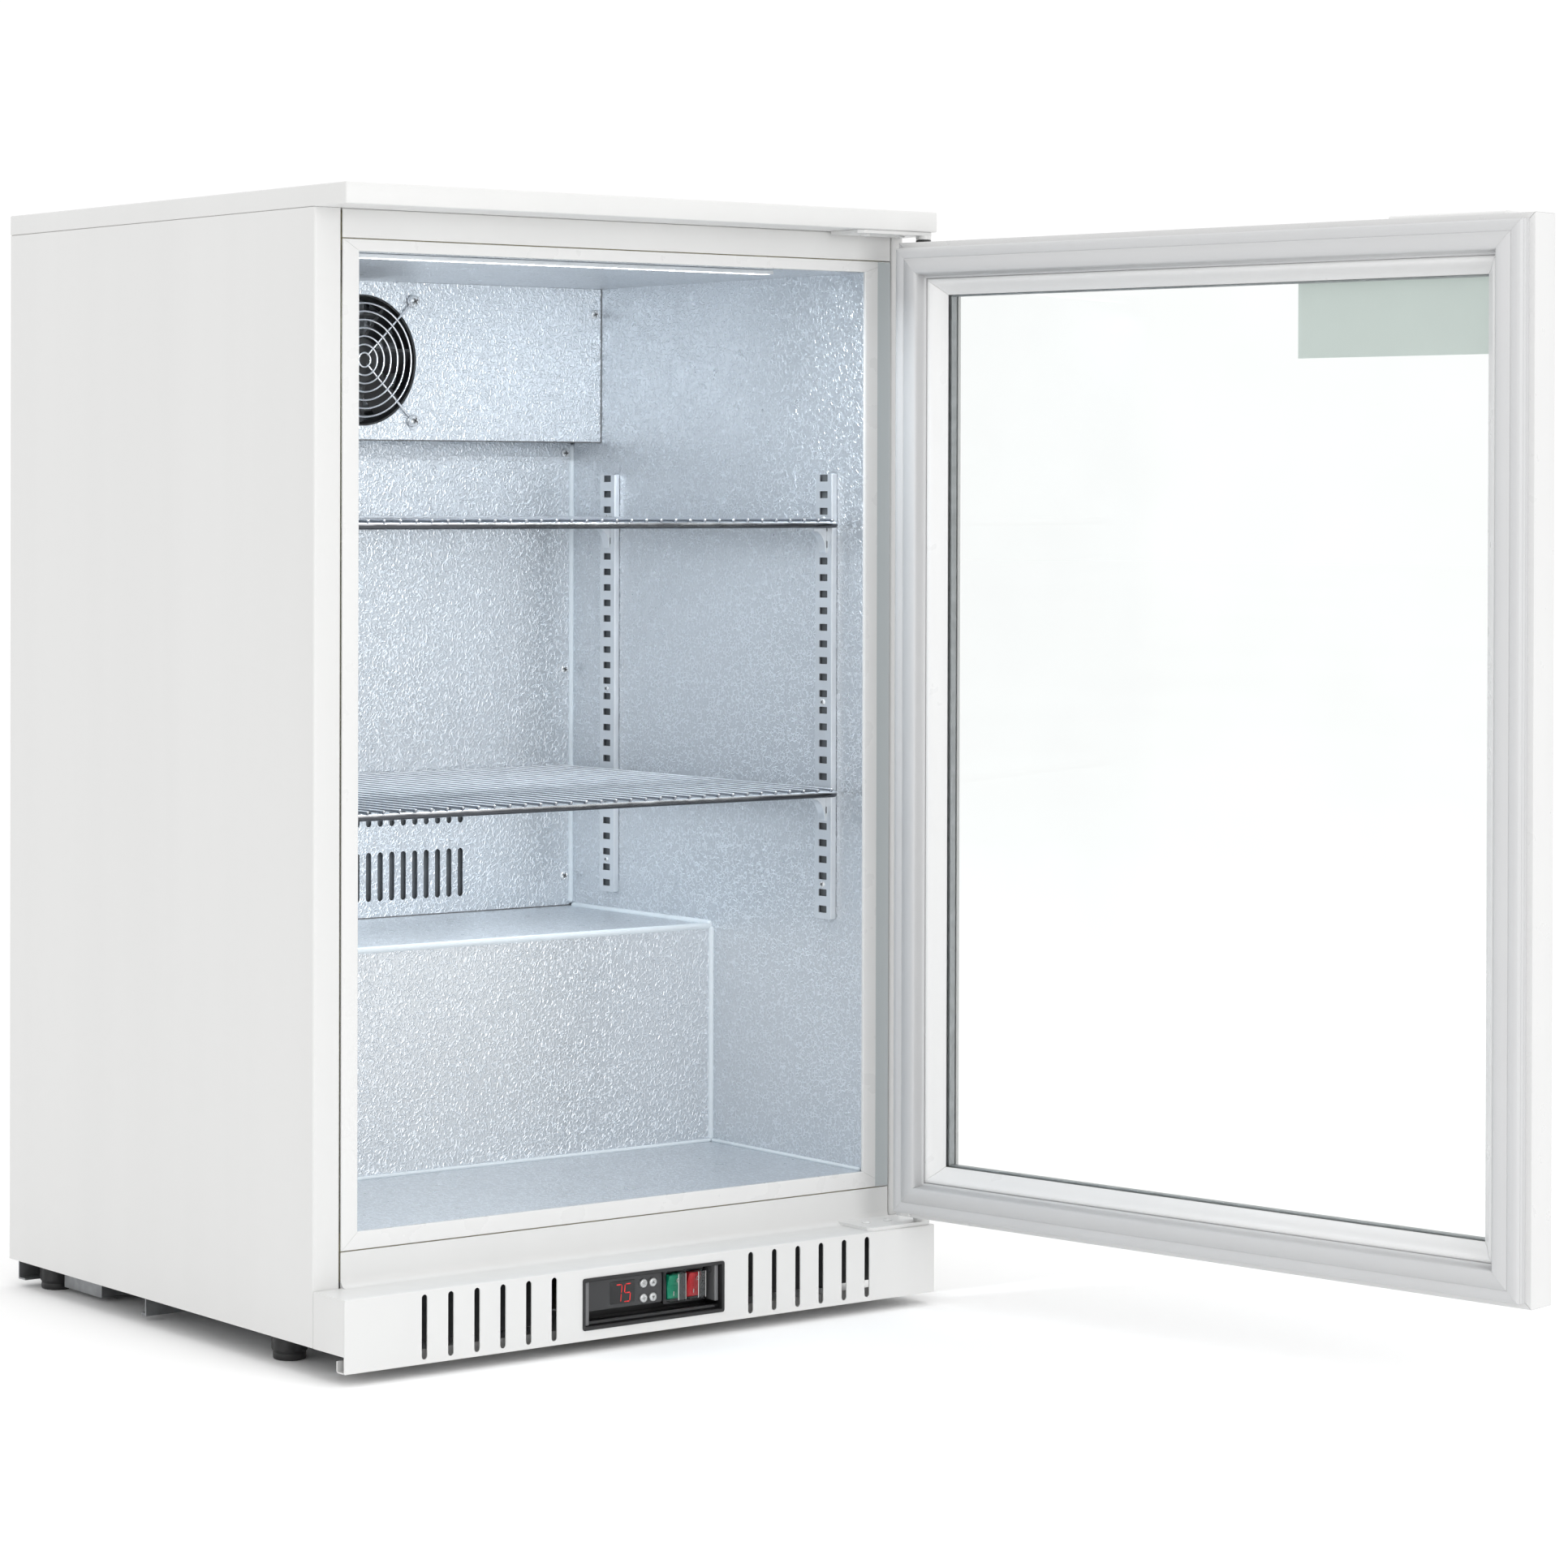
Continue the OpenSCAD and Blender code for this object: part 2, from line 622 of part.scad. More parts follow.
module rocker_bezels() {
    hx = rocker_w / 2 + 0.3;
    hz = rocker_l / 2 + 0.9;
    bx = bezel_w / 2 - 0.1;
    bz = bezel_l / 2;
    y = fascia_y;
    z = rocker_z;
    color("black") for (x = rocker_xs) difference() {
        union() {
            slab(x - bx, x + bx, y, y + 4, z - bz, z + bz);
            slab(x - 8.4, x + 8.4, y + 3, y + 10.2, z - bz + 1, z + bz - 1);
            slab(x - 6.9, x + 6.9, y + 9, y + 30, z - 10.9, z + 10.9);
        }
        slab(x - hx, x + hx, y - 1, y + 8.5, z - hz, z + hz);
        translate([x - hx - 1.2, pivot_y, z]) rotate([0, 90, 0])
            cylinder(r = pivot_r + 0.06, h = 2 * hx + 2.4);
    }
}

module rocker(x) {
    // cap rocked to its lower end, turning on two side pins
    h = rocker_l / 2;
    color(x < 30 ? "seagreen" : "crimson") translate([x, pivot_y, rocker_z]) {
        rotate([8, 0, 0]) rotate([90, 0, 90]) translate([0, 0, -rocker_w / 2]) linear_extrude(rocker_w)
            polygon([[-4.4, -h], [-5.2, -h + 1], [-3.4, 0], [-5.2, h - 1], [-4.4, h],
                     [-1, h], [1.4, 3], [1.4, -3], [-1, -h]]);
        translate([-rocker_w / 2 - 1, 0, 0]) rotate([0, 90, 0]) cylinder(r = pivot_r, h = rocker_w + 2);
    }
}
module rocker_power() { rocker(rocker_xs[0]); }
module rocker_light() { rocker(rocker_xs[1]); }

module rocker_covers() {
    // clear splash caps over the rockers
    hx = rocker_w / 2 + 2.2;
    hz = rocker_l / 2 + 2.4;
    y0 = fascia_y - 7.6;
    color([0.8, 0.8, 0.8, 0.4]) for (x = rocker_xs) difference() {
        slab(x - hx, x + hx, y0, fascia_y - 0.02, rocker_z - hz, rocker_z + hz);
        slab(x - hx + 0.7, x + hx - 0.7, y0 + 0.7, fascia_y + 1, rocker_z - hz + 0.7, rocker_z + hz - 0.7);
    }
}

// ---- hinges and door ----

module top_hinge_bracket() {
    z = top_z0 - hinge_plate_t;
    color("white") {
        slab(hw - 83, hw - 1, fy - 41, fy - 3, z, top_z0 - 0.02);
        translate([pin_x, pin_y, door_z1 - 18]) cylinder(r = pin_r, h = z - door_z1 + 18.5);
        // collar that carries the bush's flange
        c = door_z1 + bush_flange_t + 0.3;
        translate([pin_x, pin_y, c]) cylinder(r = bush_flange_r, h = z + 0.5 - c);
        for (dx = [22, 60]) translate([hw - 83 + dx, fy - 22, z]) rotate([180, 0, 0]) screw_head(4);
    }
}

module bottom_hinge_bracket() {
    z = grille_z1 + hinge_plate_t;
    color("white") {
        slab(hw - 70, hw - 1, fy - 42, fy - 1, grille_z1 + 0.02, z);
        translate([pin_x, pin_y, z - 0.5]) cylinder(r = pin_r, h = door_z0 + 18 - z);
        translate([pin_x, pin_y, z - 0.5])
            cylinder(r = bush_flange_r, h = door_z0 - bush_flange_t - 0.3 - z + 0.5);
        for (dx = [14, 38]) translate([hw - 70 + dx, fy - 20, z]) screw_head(3.6);
    }
}

module swing() {
    // carries what is drawn closed to the open position
    translate([pin_x, pin_y, 0]) rotate([0, 0, door_open]) translate([-pin_x, -pin_y, 0]) children();
}

module frame_wedge(side, m) {
    // one mitred quarter of the door's outline, in the XZ plane
    g = 0.06;
    x = door_x;
    z0 = door_z0;
    z1 = door_z1;
    if (side == 0) polygon([[-x + g, z0], [x - g, z0], [x - m - g, z0 + m], [-x + m + g, z0 + m]]);
    if (side == 2) polygon([[-x + g, z1], [x - g, z1], [x - m - g, z1 - m], [-x + m + g, z1 - m]]);
    if (side == 1) polygon([[x, z0 + g], [x, z1 - g], [x - m, z1 - m - g], [x - m, z0 + m + g]]);
    if (side == 3) polygon([[-x, z0 + g], [-x, z1 - g], [-x + m, z1 - m - g], [-x + m, z0 + m + g]]);
}

module door_ring(s0, s1, t0, t1) {
    // ring of the leaf from s0 to s1 in from its edge and t0 to t1 out from its inner face
    translate([0, door_y, 0]) ring_xz(door_x - s0, door_z0 + s0, door_z1 - s0, s1 - s0, t0, t1);
}

module door_frame() {
    glass_out = glass_in + 2 * glass_t + spacer_t;
    color("white") swing() difference() {
        for (side = [0 : 3]) intersection() {
            union() {
                door_ring(0, seat_w, 0, door_t);
                door_ring(seat_w - 1, frame_w, glass_out, door_t);
            }
            translate([0, door_y, 0]) rotate([90, 0, 0]) linear_extrude(door_t)
                frame_wedge(side, frame_w + 1);
        }
        door_ring(3, seat_w - 3, 3, door_t - 3);
        for (z = [door_z0 - 1, door_z1 - bush_l])
            translate([pin_x, pin_y, z]) cylinder(r = bush_r, h = bush_l + 1);
    }
}

module hinge_bushes() {
    color("black") swing() for (e = [0, 1]) {
        z = e == 0 ? door_z0 : door_z1;
        dir = e == 0 ? 0 : 180;
        translate([pin_x, pin_y, z]) rotate([dir, 0, 0]) difference() {
            union() {
                cylinder(r = bush_r, h = bush_l);
                translate([0, 0, -bush_flange_t]) cylinder(r = bush_flange_r, h = bush_flange_t);
            }
            translate([0, 0, -bush_flange_t - 1]) cylinder(r = bush_bore_r, h = bush_l + bush_flange_t + 2);
        }
    }
}

module door_gasket() {
    tip = gasket_gap - 0.3;
    color("lightgray") swing() {
        door_ring(6, seat_w, -4.5, 0);
        door_ring(11, 28, -tip, -4);
    }
}

module pane(t0) {
    s = seat_w + 2;
    translate([0, door_y - t0, 0]) rotate([90, 0, 0]) linear_extrude(glass_t)
        translate([-door_x + s, door_z0 + s]) square([2 * (door_x - s), door_z1 - door_z0 - 2 * s]);
}
module inner_glass() { color([0.8, 0.9, 0.88, 0.4]) swing() pane(glass_in); }
module outer_glass() { color([0.8, 0.9, 0.88, 0.4]) swing() pane(glass_in + glass_t + spacer_t); }

module glass_spacer() {
    t0 = glass_in + glass_t;
    color("gray") swing() door_ring(36, frame_w + 1.4, t0, t0 + spacer_t);
}

module bead_bar(l) {
    // sloped bead along X, seated on the inner pane
    w = frame_w - seat_w - gap;
    translate([-l / 2, 0, 0]) rotate([90, 0, 90]) linear_extrude(l)
        polygon([[0, 0], [0, w - 11.5], [-glass_in + 2, w], [-glass_in, w], [-glass_in, 0]]);
}

module glazing_beads() {
    s = seat_w + gap;
    h = door_z1 - door_z0;
    zc = (door_z0 + door_z1) / 2;
    lx = 2 * door_x;
    color("white") swing() for (side = [0 : 3]) intersection() {
        translate([0, door_y, 0]) {
            if (side == 0) translate([0, 0, door_z0 + s]) bead_bar(lx);
            if (side == 2) translate([0, 0, door_z1 - s]) mirror([0, 0, 1]) bead_bar(lx);
            if (side == 1) translate([door_x - s, 0, zc]) rotate([0, -90, 0]) bead_bar(h);
            if (side == 3) translate([-door_x + s, 0, zc]) rotate([0, 90, 0]) bead_bar(h);
        }
        translate([0, door_y + 1, 0]) rotate([90, 0, 0]) linear_extrude(door_t)
            frame_wedge(side, frame_w + 1);
    }
}

module door_handle() {
    // finger pull screwed to the outer face, near the free upper corner
    y = door_y - door_t - 0.05;
    z = door_z1;
    color("white") swing() rotate([90, 0, 90]) translate([0, 0, -256]) linear_extrude(101) polygon([
        [y, z - 34], [y - 2.4, z - 34], [y - 2.4, z + 2.2], [y - 19, z + 2.2], [y - 20.5, z + 0.7],
        [y - 20.5, z - 12], [y - 22.9, z - 12], [y - 22.9, z + 2.5], [y - 20.9, z + 4.6], [y, z + 4.6]
    ]);
}

module label_plate() {
    y = door_y - glass_in - 2 * glass_t - spacer_t - 0.35;
    x = -door_x + frame_w + 0.6;
    z = door_z1 - frame_w - 0.6;
    color("honeydew") swing() slab(x, x + label_w, y, y + 0.3, z - label_h, z);
}

// ---- machine compartment ----

module compressor() {
    cx = 150;
    cy = mach_y0 + 104;
    z0 = shell_z + 2.6;
    color([0.15, 0.15, 0.16]) {
        difference() {
            translate([cx, cy, z0 + 18]) rotate_extrude()
                polygon(concat([[0, 0]], [for (a = [-90 : 15 : 0]) [44 + 26 * cos(a), 26 + 26 * sin(a)]],
                               [for (a = [0 : 15 : 90]) [40 + 30 * cos(a), 118 + 30 * sin(a)]], [[0, 148]]));
            // hollow of the welded shell
            translate([cx, cy, z0 + 38]) cylinder(r = 54, h = 104);
        }
        slab(cx - 85, cx + 85, cy - 62, cy + 62, z0 + 14, z0 + 18.5);
        for (sx = [-1, 1], sy = [-1, 1])
            translate([cx + sx * 72, cy + sy * 50, z0]) cylinder(r = 10, h = 14.5);
        slab(cx - 20, cx + 20, cy - 92, cy - 64, z0 + 60, z0 + 116);
    }
}

module condenser_coil() {
    color("silver") translate([-248, mach_y0 + 103, shell_z + 2.6]) rotate([0, 0, 90])
        coil_block(180, 28, 190, 20, 6, 2);
}

module condenser_shroud() {
    x = -226;
    c = [x, mach_y0 + 103, shell_z + 106];
    color("gray") difference() {
        union() {
            slab(x, x + 1.5, c[1] - 92, c[1] + 92, shell_z + 2.6, shell_z + 208);
            slab(x, x + 22, c[1] - 92, c[1] - 90.5, shell_z + 2.6, shell_z + 208);
            slab(x, x + 22, c[1] + 90.5, c[1] + 92, shell_z + 2.6, shell_z + 208);
            // motor on its cross bar
            slab(x + 52, x + 54, c[1] - 92, c[1] + 92, c[2] - 9, c[2] + 9);
            slab(x, x + 54, c[1] - 92, c[1] - 90, c[2] - 9, c[2] + 9);
            slab(x, x + 54, c[1] + 90, c[1] + 92, c[2] - 9, c[2] + 9);
            translate([x + 34, c[1], c[2]]) rotate([0, 90, 0]) cylinder(r = 27, h = 42);
        }
        translate([x - 1, c[1], c[2]]) rotate([0, 90, 0]) cylinder(r = 80, h = 4);
        translate([x + 30, c[1], c[2]]) rotate([0, 90, 0]) cylinder(r = 3.05, h = 22);
    }
}

module condenser_fan_blades() {
    color("black") translate([-222, mach_y0 + 103, shell_z + 106]) rotate([0, 90, 0]) {
        fan_rotor(74, 18, 26, 5, 44, 30);
        translate([0, 0, 25]) cylinder(r = 3, h = 18);
    }
}

module refrigerant_pipes() {
    y = mach_y0 + 190;
    z = shell_z + 30;
    color("peru") {
        // filter drier between two runs of capillary and liquid line
        translate([-20, y, z]) rotate([0, 90, 0]) cylinder(r = 11, h = 80);
        tube_path([[-224.4, y, z], [-30, y, z], [-10, y, z]], 3.2);
        tube_path([[50, y, z], [80, y, z], [80, y, z + 160], [80, mach_y0 + 60, z + 160]], 1.6);
        // discharge line from the compressor to the condenser
        top = shell_z + 213;
        y1 = mach_y0 + 104;
        y2 = mach_y0 + 40;
        tube_path([[110, y1, shell_z + 168.8], [110, y1, top], [-100, y1, top], [-100, y2, top],
                   [-248, y2, top], [-248, y2, shell_z + 193]], 3.2);
    }
}

module power_inlet() {
    // strain relief bush for the supply lead
    color("black") translate([-252, by + 3, shell_z + 30]) rotate([90, 0, 0]) difference() {
        union() {
            cylinder(r = 13, h = 2.9);
            cylinder(r = 8.9, h = 14);
        }
        translate([0, 0, -1]) cylinder(r = 4, h = 16);
    }
}

// ---- feet ----

module foot(sx, y) {
    color([0.12, 0.12, 0.12]) translate([sx * foot_x, y, 0]) {
        cylinder(r1 = foot_r - 1.5, r2 = foot_r, h = foot_h);
        translate([0, 0, foot_h - 1]) cylinder(r = stem_r, h = 34);
    }
}
module foot_front_left() { foot(-1, foot_ys[0]); }
module foot_front_right() { foot(1, foot_ys[0]); }
module foot_rear_left() { foot(-1, foot_ys[1]); }
module foot_rear_right() { foot(1, foot_ys[1]); }

worktop();
side_panel_left();
side_panel_right();
rear_panel();
base_pan();
front_trim_panels();
breaker_frame();
liner_left();
liner_right();
liner_ceiling();
liner_rear();
liner_floor();
insulation();
evaporator_cover();
duct_panel();
fan_guard();
evaporator_fan_housing();
evaporator_coil();
led_profile();
led_lens();
shelf_rails();
shelf_clips();
panel_screws();
grille_panel();
control_housing();
controller_body();
rocker_bezels();
rocker_covers();
top_hinge_bracket();
bottom_hinge_bracket();
compressor();
condenser_coil();
condenser_shroud();
refrigerant_pipes();
drip_tray();
power_inlet();
base_brackets();
door_frame();
door_gasket();
inner_glass();
outer_glass();
glass_spacer();
glazing_beads();
door_handle();
label_plate();
hinge_bushes();
shelf_upper();
shelf_lower();
evaporator_fan_blades();
condenser_fan_blades();
rocker_power();
rocker_light();
button_set();
button_up();
button_defrost();
button_down();
foot_front_left();
foot_front_right();
foot_rear_left();
foot_rear_right();
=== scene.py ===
import json
import math

import bmesh
import bpy
from mathutils import Matrix, Vector


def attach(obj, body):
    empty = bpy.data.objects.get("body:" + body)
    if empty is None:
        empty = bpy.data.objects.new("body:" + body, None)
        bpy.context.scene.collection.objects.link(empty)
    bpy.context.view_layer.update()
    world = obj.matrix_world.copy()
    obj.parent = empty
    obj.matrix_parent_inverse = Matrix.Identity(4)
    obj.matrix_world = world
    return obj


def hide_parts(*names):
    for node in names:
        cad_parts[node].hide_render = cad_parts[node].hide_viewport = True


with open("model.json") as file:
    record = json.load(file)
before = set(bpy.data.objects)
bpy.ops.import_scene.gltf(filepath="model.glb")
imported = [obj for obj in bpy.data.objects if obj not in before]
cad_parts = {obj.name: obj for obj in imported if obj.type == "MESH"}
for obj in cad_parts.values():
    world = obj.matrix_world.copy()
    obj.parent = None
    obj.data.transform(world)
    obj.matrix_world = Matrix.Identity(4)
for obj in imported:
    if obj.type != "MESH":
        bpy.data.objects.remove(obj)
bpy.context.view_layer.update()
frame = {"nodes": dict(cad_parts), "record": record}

# ---------------------------------------------------------------- sizes, in millimetres
# The cabinet is centred on X = 0, its front faces -Y and it stands on Z = 0.
HALF_W = 300.0
FRONT_Y, BACK_Y, LIP_Y = -237.0, 237.0, -280.5             # body's two faces, and the worktop's front edge
TOP_Z0, TOP_Z1 = 903.0, 920.0                              # worktop
CAV_X, CAV_Y0, CAV_Y1 = HALF_W - 35.0, FRONT_Y + 8.0, BACK_Y - 40.0
CAV_Z0, CAV_Z1 = 108.0, 870.0
MOUTH_X = CAV_X - 7.0                                      # opening between the breaker strips
STEP_Y, STEP_Z = CAV_Y1 - 221.0, 301.0                     # step over the machine compartment
EVAP_Y, EVAP_Z0, FAN_Z = 140.0, 730.0, 800.0
DUCT_X, DUCT_Y = CAV_X - 2.0, 184.0
RAIL_X, RAIL_Y, RAIL_Z0, RAIL_Z1 = CAV_X - 6.0, (-182.0, 122.6), 319.0, 700.0
RAIL_PITCH = 14.2                                          # from one square slot to the next
SHELVES = {"shelf_upper": 662.0, "shelf_lower": 433.0}     # node and the top of its wires
GRILLE_X, GRILLE_Z0, GRILLE_Z1 = HALF_W - 0.5, 9.7, 66.8
BOX_Z0, BOX_Z1 = 17.8, 59.3                                # control housing
FASCIA_Y = LIP_Y + 10.0
DOOR_X, DOOR_Z0, DOOR_Z1 = HALF_W - 1.0, 75.9, 893.5
DOOR_Y, DOOR_T = FRONT_Y - 12.5, 30.0                      # inner face of the frame, and its thickness
PIN_X, PIN_Y = HALF_W - 9.0, FRONT_Y - 36.0                # hinge axis
OPEN = math.radians(100.6)                                 # how far the door stands open at rest
SWING = (Matrix.Translation((PIN_X, PIN_Y, 0)) @ Matrix.Rotation(OPEN, 4, "Z")
         @ Matrix.Translation((-PIN_X, -PIN_Y, 0)))
SIDES = (-1, 1)


# ---------------------------------------------------------------- materials, procedural, in metres
MATERIAL = {}


class Tree:
    """A new material, kept in MATERIAL under its name, and short ways to wire its shader nodes."""

    def __init__(self, name):
        self.m = MATERIAL[name] = bpy.data.materials.new(name)
        self.m.use_nodes = True
        self.t = self.m.node_tree
        self.b = self.t.nodes["Principled BSDF"]
        self.co = self.t.nodes.new("ShaderNodeTexCoord").outputs["Object"]

    def link(self, a, b):
        self.t.links.new(a, b)

    def mapped(self, scale):
        n = self.t.nodes.new("ShaderNodeMapping")
        n.inputs["Scale"].default_value = scale
        self.link(self.co, n.inputs["Vector"])
        return n.outputs["Vector"]

    def noise(self, scale, detail=2.0, distortion=0.0, stretch=None):
        n = self.t.nodes.new("ShaderNodeTexNoise")
        n.inputs["Scale"].default_value = scale
        n.inputs["Detail"].default_value = detail
        n.inputs["Distortion"].default_value = distortion
        self.link(self.mapped(stretch) if stretch else self.co, n.inputs["Vector"])
        return n.outputs["Fac"]

    def ramp(self, fac, stops):
        """Colour from stops of (position, colour)."""
        n = self.t.nodes.new("ShaderNodeValToRGB")
        e = n.color_ramp.elements
        while len(e) < len(stops):
            e.new(0.5)
        for el, (p, c) in zip(e, stops):
            el.position = p
            el.color = c if len(c) == 4 else (*c, 1)
        self.link(fac, n.inputs["Fac"])
        return n.outputs["Color"]

    def span(self, fac, lo, hi, a=0.3, b=0.7):
        """Maps a..b to lo..hi, clamped. Most noise lies between 0.3 and 0.7."""
        n = self.t.nodes.new("ShaderNodeMapRange")
        for k, v in (("From Min", a), ("From Max", b), ("To Min", lo), ("To Max", hi)):
            n.inputs[k].default_value = v
        self.link(fac, n.inputs["Value"])
        return n.outputs["Result"]

    def math(self, op, a, b=0.0):
        n = self.t.nodes.new("ShaderNodeMath")
        n.operation = op
        for k, v in enumerate((a, b)):
            if isinstance(v, (int, float)):
                n.inputs[k].default_value = v
            else:
                self.link(v, n.inputs[k])
        return n.outputs["Value"]

    def bump(self, height, distance, strength=1.0, normal=None):
        n = self.t.nodes.new("ShaderNodeBump")
        n.inputs["Distance"].default_value = distance
        n.inputs["Strength"].default_value = strength
        self.link(height, n.inputs["Height"])
        if normal:
            self.link(normal, n.inputs["Normal"])
        return n.outputs["Normal"]

    def set(self, **kw):
        for k, v in kw.items():
            self.b.inputs[k.replace("_", " ")].default_value = v


def tint(c, k):
    """Colour c made k times as bright."""
    return tuple(min(1.0, x * k) for x in c)


def surface(name, color, rough, metal=0.0, grain=600.0, depth=0.00003, vary=0.03, blotch=6.0, stretch=None,
            wear=0.06, **extra):
    """A paint, plastic or metal: faint colour drift, uneven gloss and a fine surface grain."""
    t = Tree(name)
    drift = t.noise(blotch, 3.0, 0.4, stretch)
    base = t.ramp(drift, [(0.3, tint(color, 1 - vary)), (0.7, tint(color, 1 + vary))])
    t.link(base, t.b.inputs["Base Color"])
    t.link(t.span(t.noise(blotch * 5, 4.0), rough - wear, rough + wear), t.b.inputs["Roughness"])
    t.link(t.bump(t.noise(grain, 2.0, 0.0, stretch), depth), t.b.inputs["Normal"])
    t.set(Metallic=metal, **extra)


def stucco(name, color, rough):
    """Embossed aluminium sheet: short curved ridges of even width, about 3 mm apart.

    The ridges are the edges between Voronoi cells. Noise bends them and leaves some out.
    """
    t = Tree(name)
    bend_by, ridge_height = 0.004, 0.00028
    bend = t.t.nodes.new("ShaderNodeTexNoise")
    bend.inputs["Scale"].default_value = 230.0
    bend.inputs["Detail"].default_value = 0.0
    t.link(t.co, bend.inputs["Vector"])
    push = t.t.nodes.new("ShaderNodeVectorMath")
    push.operation = "MULTIPLY_ADD"
    push.inputs[1].default_value = (bend_by, bend_by, bend_by)
    t.link(bend.outputs["Color"], push.inputs[0])
    t.link(t.co, push.inputs[2])
    cell = t.t.nodes.new("ShaderNodeTexVoronoi")
    cell.feature = "DISTANCE_TO_EDGE"
    cell.inputs["Scale"].default_value = 290.0
    t.link(push.outputs["Vector"], cell.inputs["Vector"])
    ridge = t.span(cell.outputs["Distance"], 1.0, 0.0, 0.02, 0.17)
    worm = t.math("MULTIPLY", ridge, t.span(t.noise(300.0, 0.0), 0.2, 1.0, 0.4, 0.52))
    drift = t.span(t.noise(7.0, 3.0), -0.08, 0.08)
    shades = [(0.0, tint(color, 0.88)), (0.4, tint(color, 0.98)), (1.0, tint(color, 1.12))]
    t.link(t.ramp(t.math("ADD", worm, drift), shades), t.b.inputs["Base Color"])
    t.link(t.span(t.noise(60.0, 3.0), rough - 0.03, rough + 0.08), t.b.inputs["Roughness"])
    grain = t.bump(t.noise(1500.0, 2.0), 0.00002)
    t.link(t.bump(worm, ridge_height, 1.0, grain), t.b.inputs["Normal"])
    t.set(Metallic=0.8)


def rod_painted_reflection(name, top, below, rough):
    """Polished rod with a painted reflection in its colour: light on its upper side, as of a light ceiling,
    and dark underneath, as of a dark shelf.
    """
    t = Tree(name)
    up = t.t.nodes.new("ShaderNodeSeparateXYZ")
    t.link(t.t.nodes["Texture Coordinate"].outputs["Normal"], up.inputs["Vector"])
    shade = t.math("ADD", up.outputs["Z"], t.span(t.noise(60.0, 2.0), -0.12, 0.12))
    base = t.ramp(t.span(shade, 0.0, 1.0, -1.0, 1.0), [(0.55, below), (0.86, top)])
    t.link(base, t.b.inputs["Base Color"])
    t.link(t.span(t.noise(200.0, 3.0), rough - 0.03, rough + 0.05), t.b.inputs["Roughness"])
    t.link(t.bump(t.noise(900.0, 2.0), 0.00001), t.b.inputs["Normal"])
    t.set(Metallic=1.0)


def glass(name, color, rough, ior):
    """Clear sheet with a faint waviness."""
    t = Tree(name)
    base = t.ramp(t.noise(12.0, 2.0), [(0.3, tint(color, 0.99)), (0.7, tint(color, 1.0))])
    t.link(base, t.b.inputs["Base Color"])
    t.link(t.span(t.noise(30.0, 4.0), rough, rough + 0.012), t.b.inputs["Roughness"])
    t.link(t.bump(t.noise(3.0, 1.0), 0.00005), t.b.inputs["Normal"])
    t.set(Transmission_Weight=1.0, IOR=ior)


def glow(name, color, strength, stripes):
    """A lit part with bands of brighter and dimmer light."""
    t = Tree(name)
    w = t.t.nodes.new("ShaderNodeTexWave")
    w.inputs["Scale"].default_value = stripes
    w.inputs["Distortion"].default_value = 0.3
    t.link(t.co, w.inputs["Vector"])
    c = t.ramp(w.outputs["Fac"], [(0.2, tint(color, 0.55)), (0.75, color)])
    t.link(c, t.b.inputs["Emission Color"])
    t.link(c, t.b.inputs["Base Color"])
    t.set(Roughness=0.4, Emission_Strength=strength)


# paints and plastics of the cabinet, and its metals
surface("white_paint", (0.69, 0.69, 0.683), 0.34, grain=520, depth=0.00004, vary=0.012, blotch=14,
        stretch=(1.0, 1.0, 0.04))
surface("white_plastic", (0.715, 0.715, 0.71), 0.3, grain=900, vary=0.01)
surface("galvanised", (0.30, 0.31, 0.32), 0.42, 0.85, grain=300, vary=0.16, blotch=70)
stucco("stucco_aluminium", (0.745, 0.78, 0.818), 0.3)
surface("foam", (0.86, 0.78, 0.52), 0.9, grain=300, depth=0.0003, vary=0.08, blotch=40)
surface("chrome", (0.74, 0.75, 0.77), 0.12, 1.0, grain=800, vary=0.05, blotch=40, wear=0.04)
surface("rail_steel", (0.74, 0.77, 0.80), 0.34, 0.8, grain=700, vary=0.04, blotch=30)
surface("black_plastic", (0.012, 0.012, 0.013), 0.42, grain=900, depth=0.00006, vary=0.2)
surface("black_gloss", (0.011, 0.011, 0.012), 0.14, grain=400, depth=0.00001, vary=0.2)
surface("coil_fins", (0.62, 0.63, 0.64), 0.4, 0.9, grain=900, vary=0.1, blotch=60)
glow("led_lens", (0.90, 0.96, 1.0), 2.2, 26.0)
glass("clear_cap", (0.95, 0.97, 0.97), 0.05, 1.2)

# door
surface("door_paint", (0.645, 0.645, 0.642), 0.33, grain=520, depth=0.00003, vary=0.01, blotch=12)
surface("gasket", (0.545, 0.548, 0.553), 0.45, grain=600, depth=0.00004, vary=0.012, blotch=9)
glass("glass", (0.975, 0.985, 0.98), 0.0, 1.2)
surface("spacer", (0.42, 0.44, 0.45), 0.4, 0.6, grain=700, vary=0.12, blotch=90)
# the label's glow is painted light, making up for light that the door's glass keeps off it
surface("label", (0.41, 0.44, 0.43), 0.4, grain=500, vary=0.02, blotch=15,
        Emission_Color=(0.80, 0.90, 0.85, 1), Emission_Strength=0.44)

# machine compartment, controls and feet
surface("compressor_paint", (0.02, 0.02, 0.022), 0.3, grain=250, depth=0.00012, vary=0.2, blotch=30)
surface("shroud_steel", (0.28, 0.29, 0.30), 0.42, 0.7, grain=400, vary=0.1, blotch=40)
surface("copper", (0.72, 0.38, 0.24), 0.3, 1.0, grain=500, vary=0.12, blotch=60)
surface("green_rocker", (0.0, 0.30, 0.16), 0.22, grain=700, vary=0.08)
surface("red_rocker", (0.62, 0.012, 0.02), 0.22, grain=700, vary=0.08)
surface("button_silver", (0.56, 0.57, 0.57), 0.28, 0.5, grain=900, vary=0.04, blotch=90)
surface("foot_rubber", (0.016, 0.016, 0.017), 0.5, grain=500, depth=0.0001, vary=0.2, blotch=60)

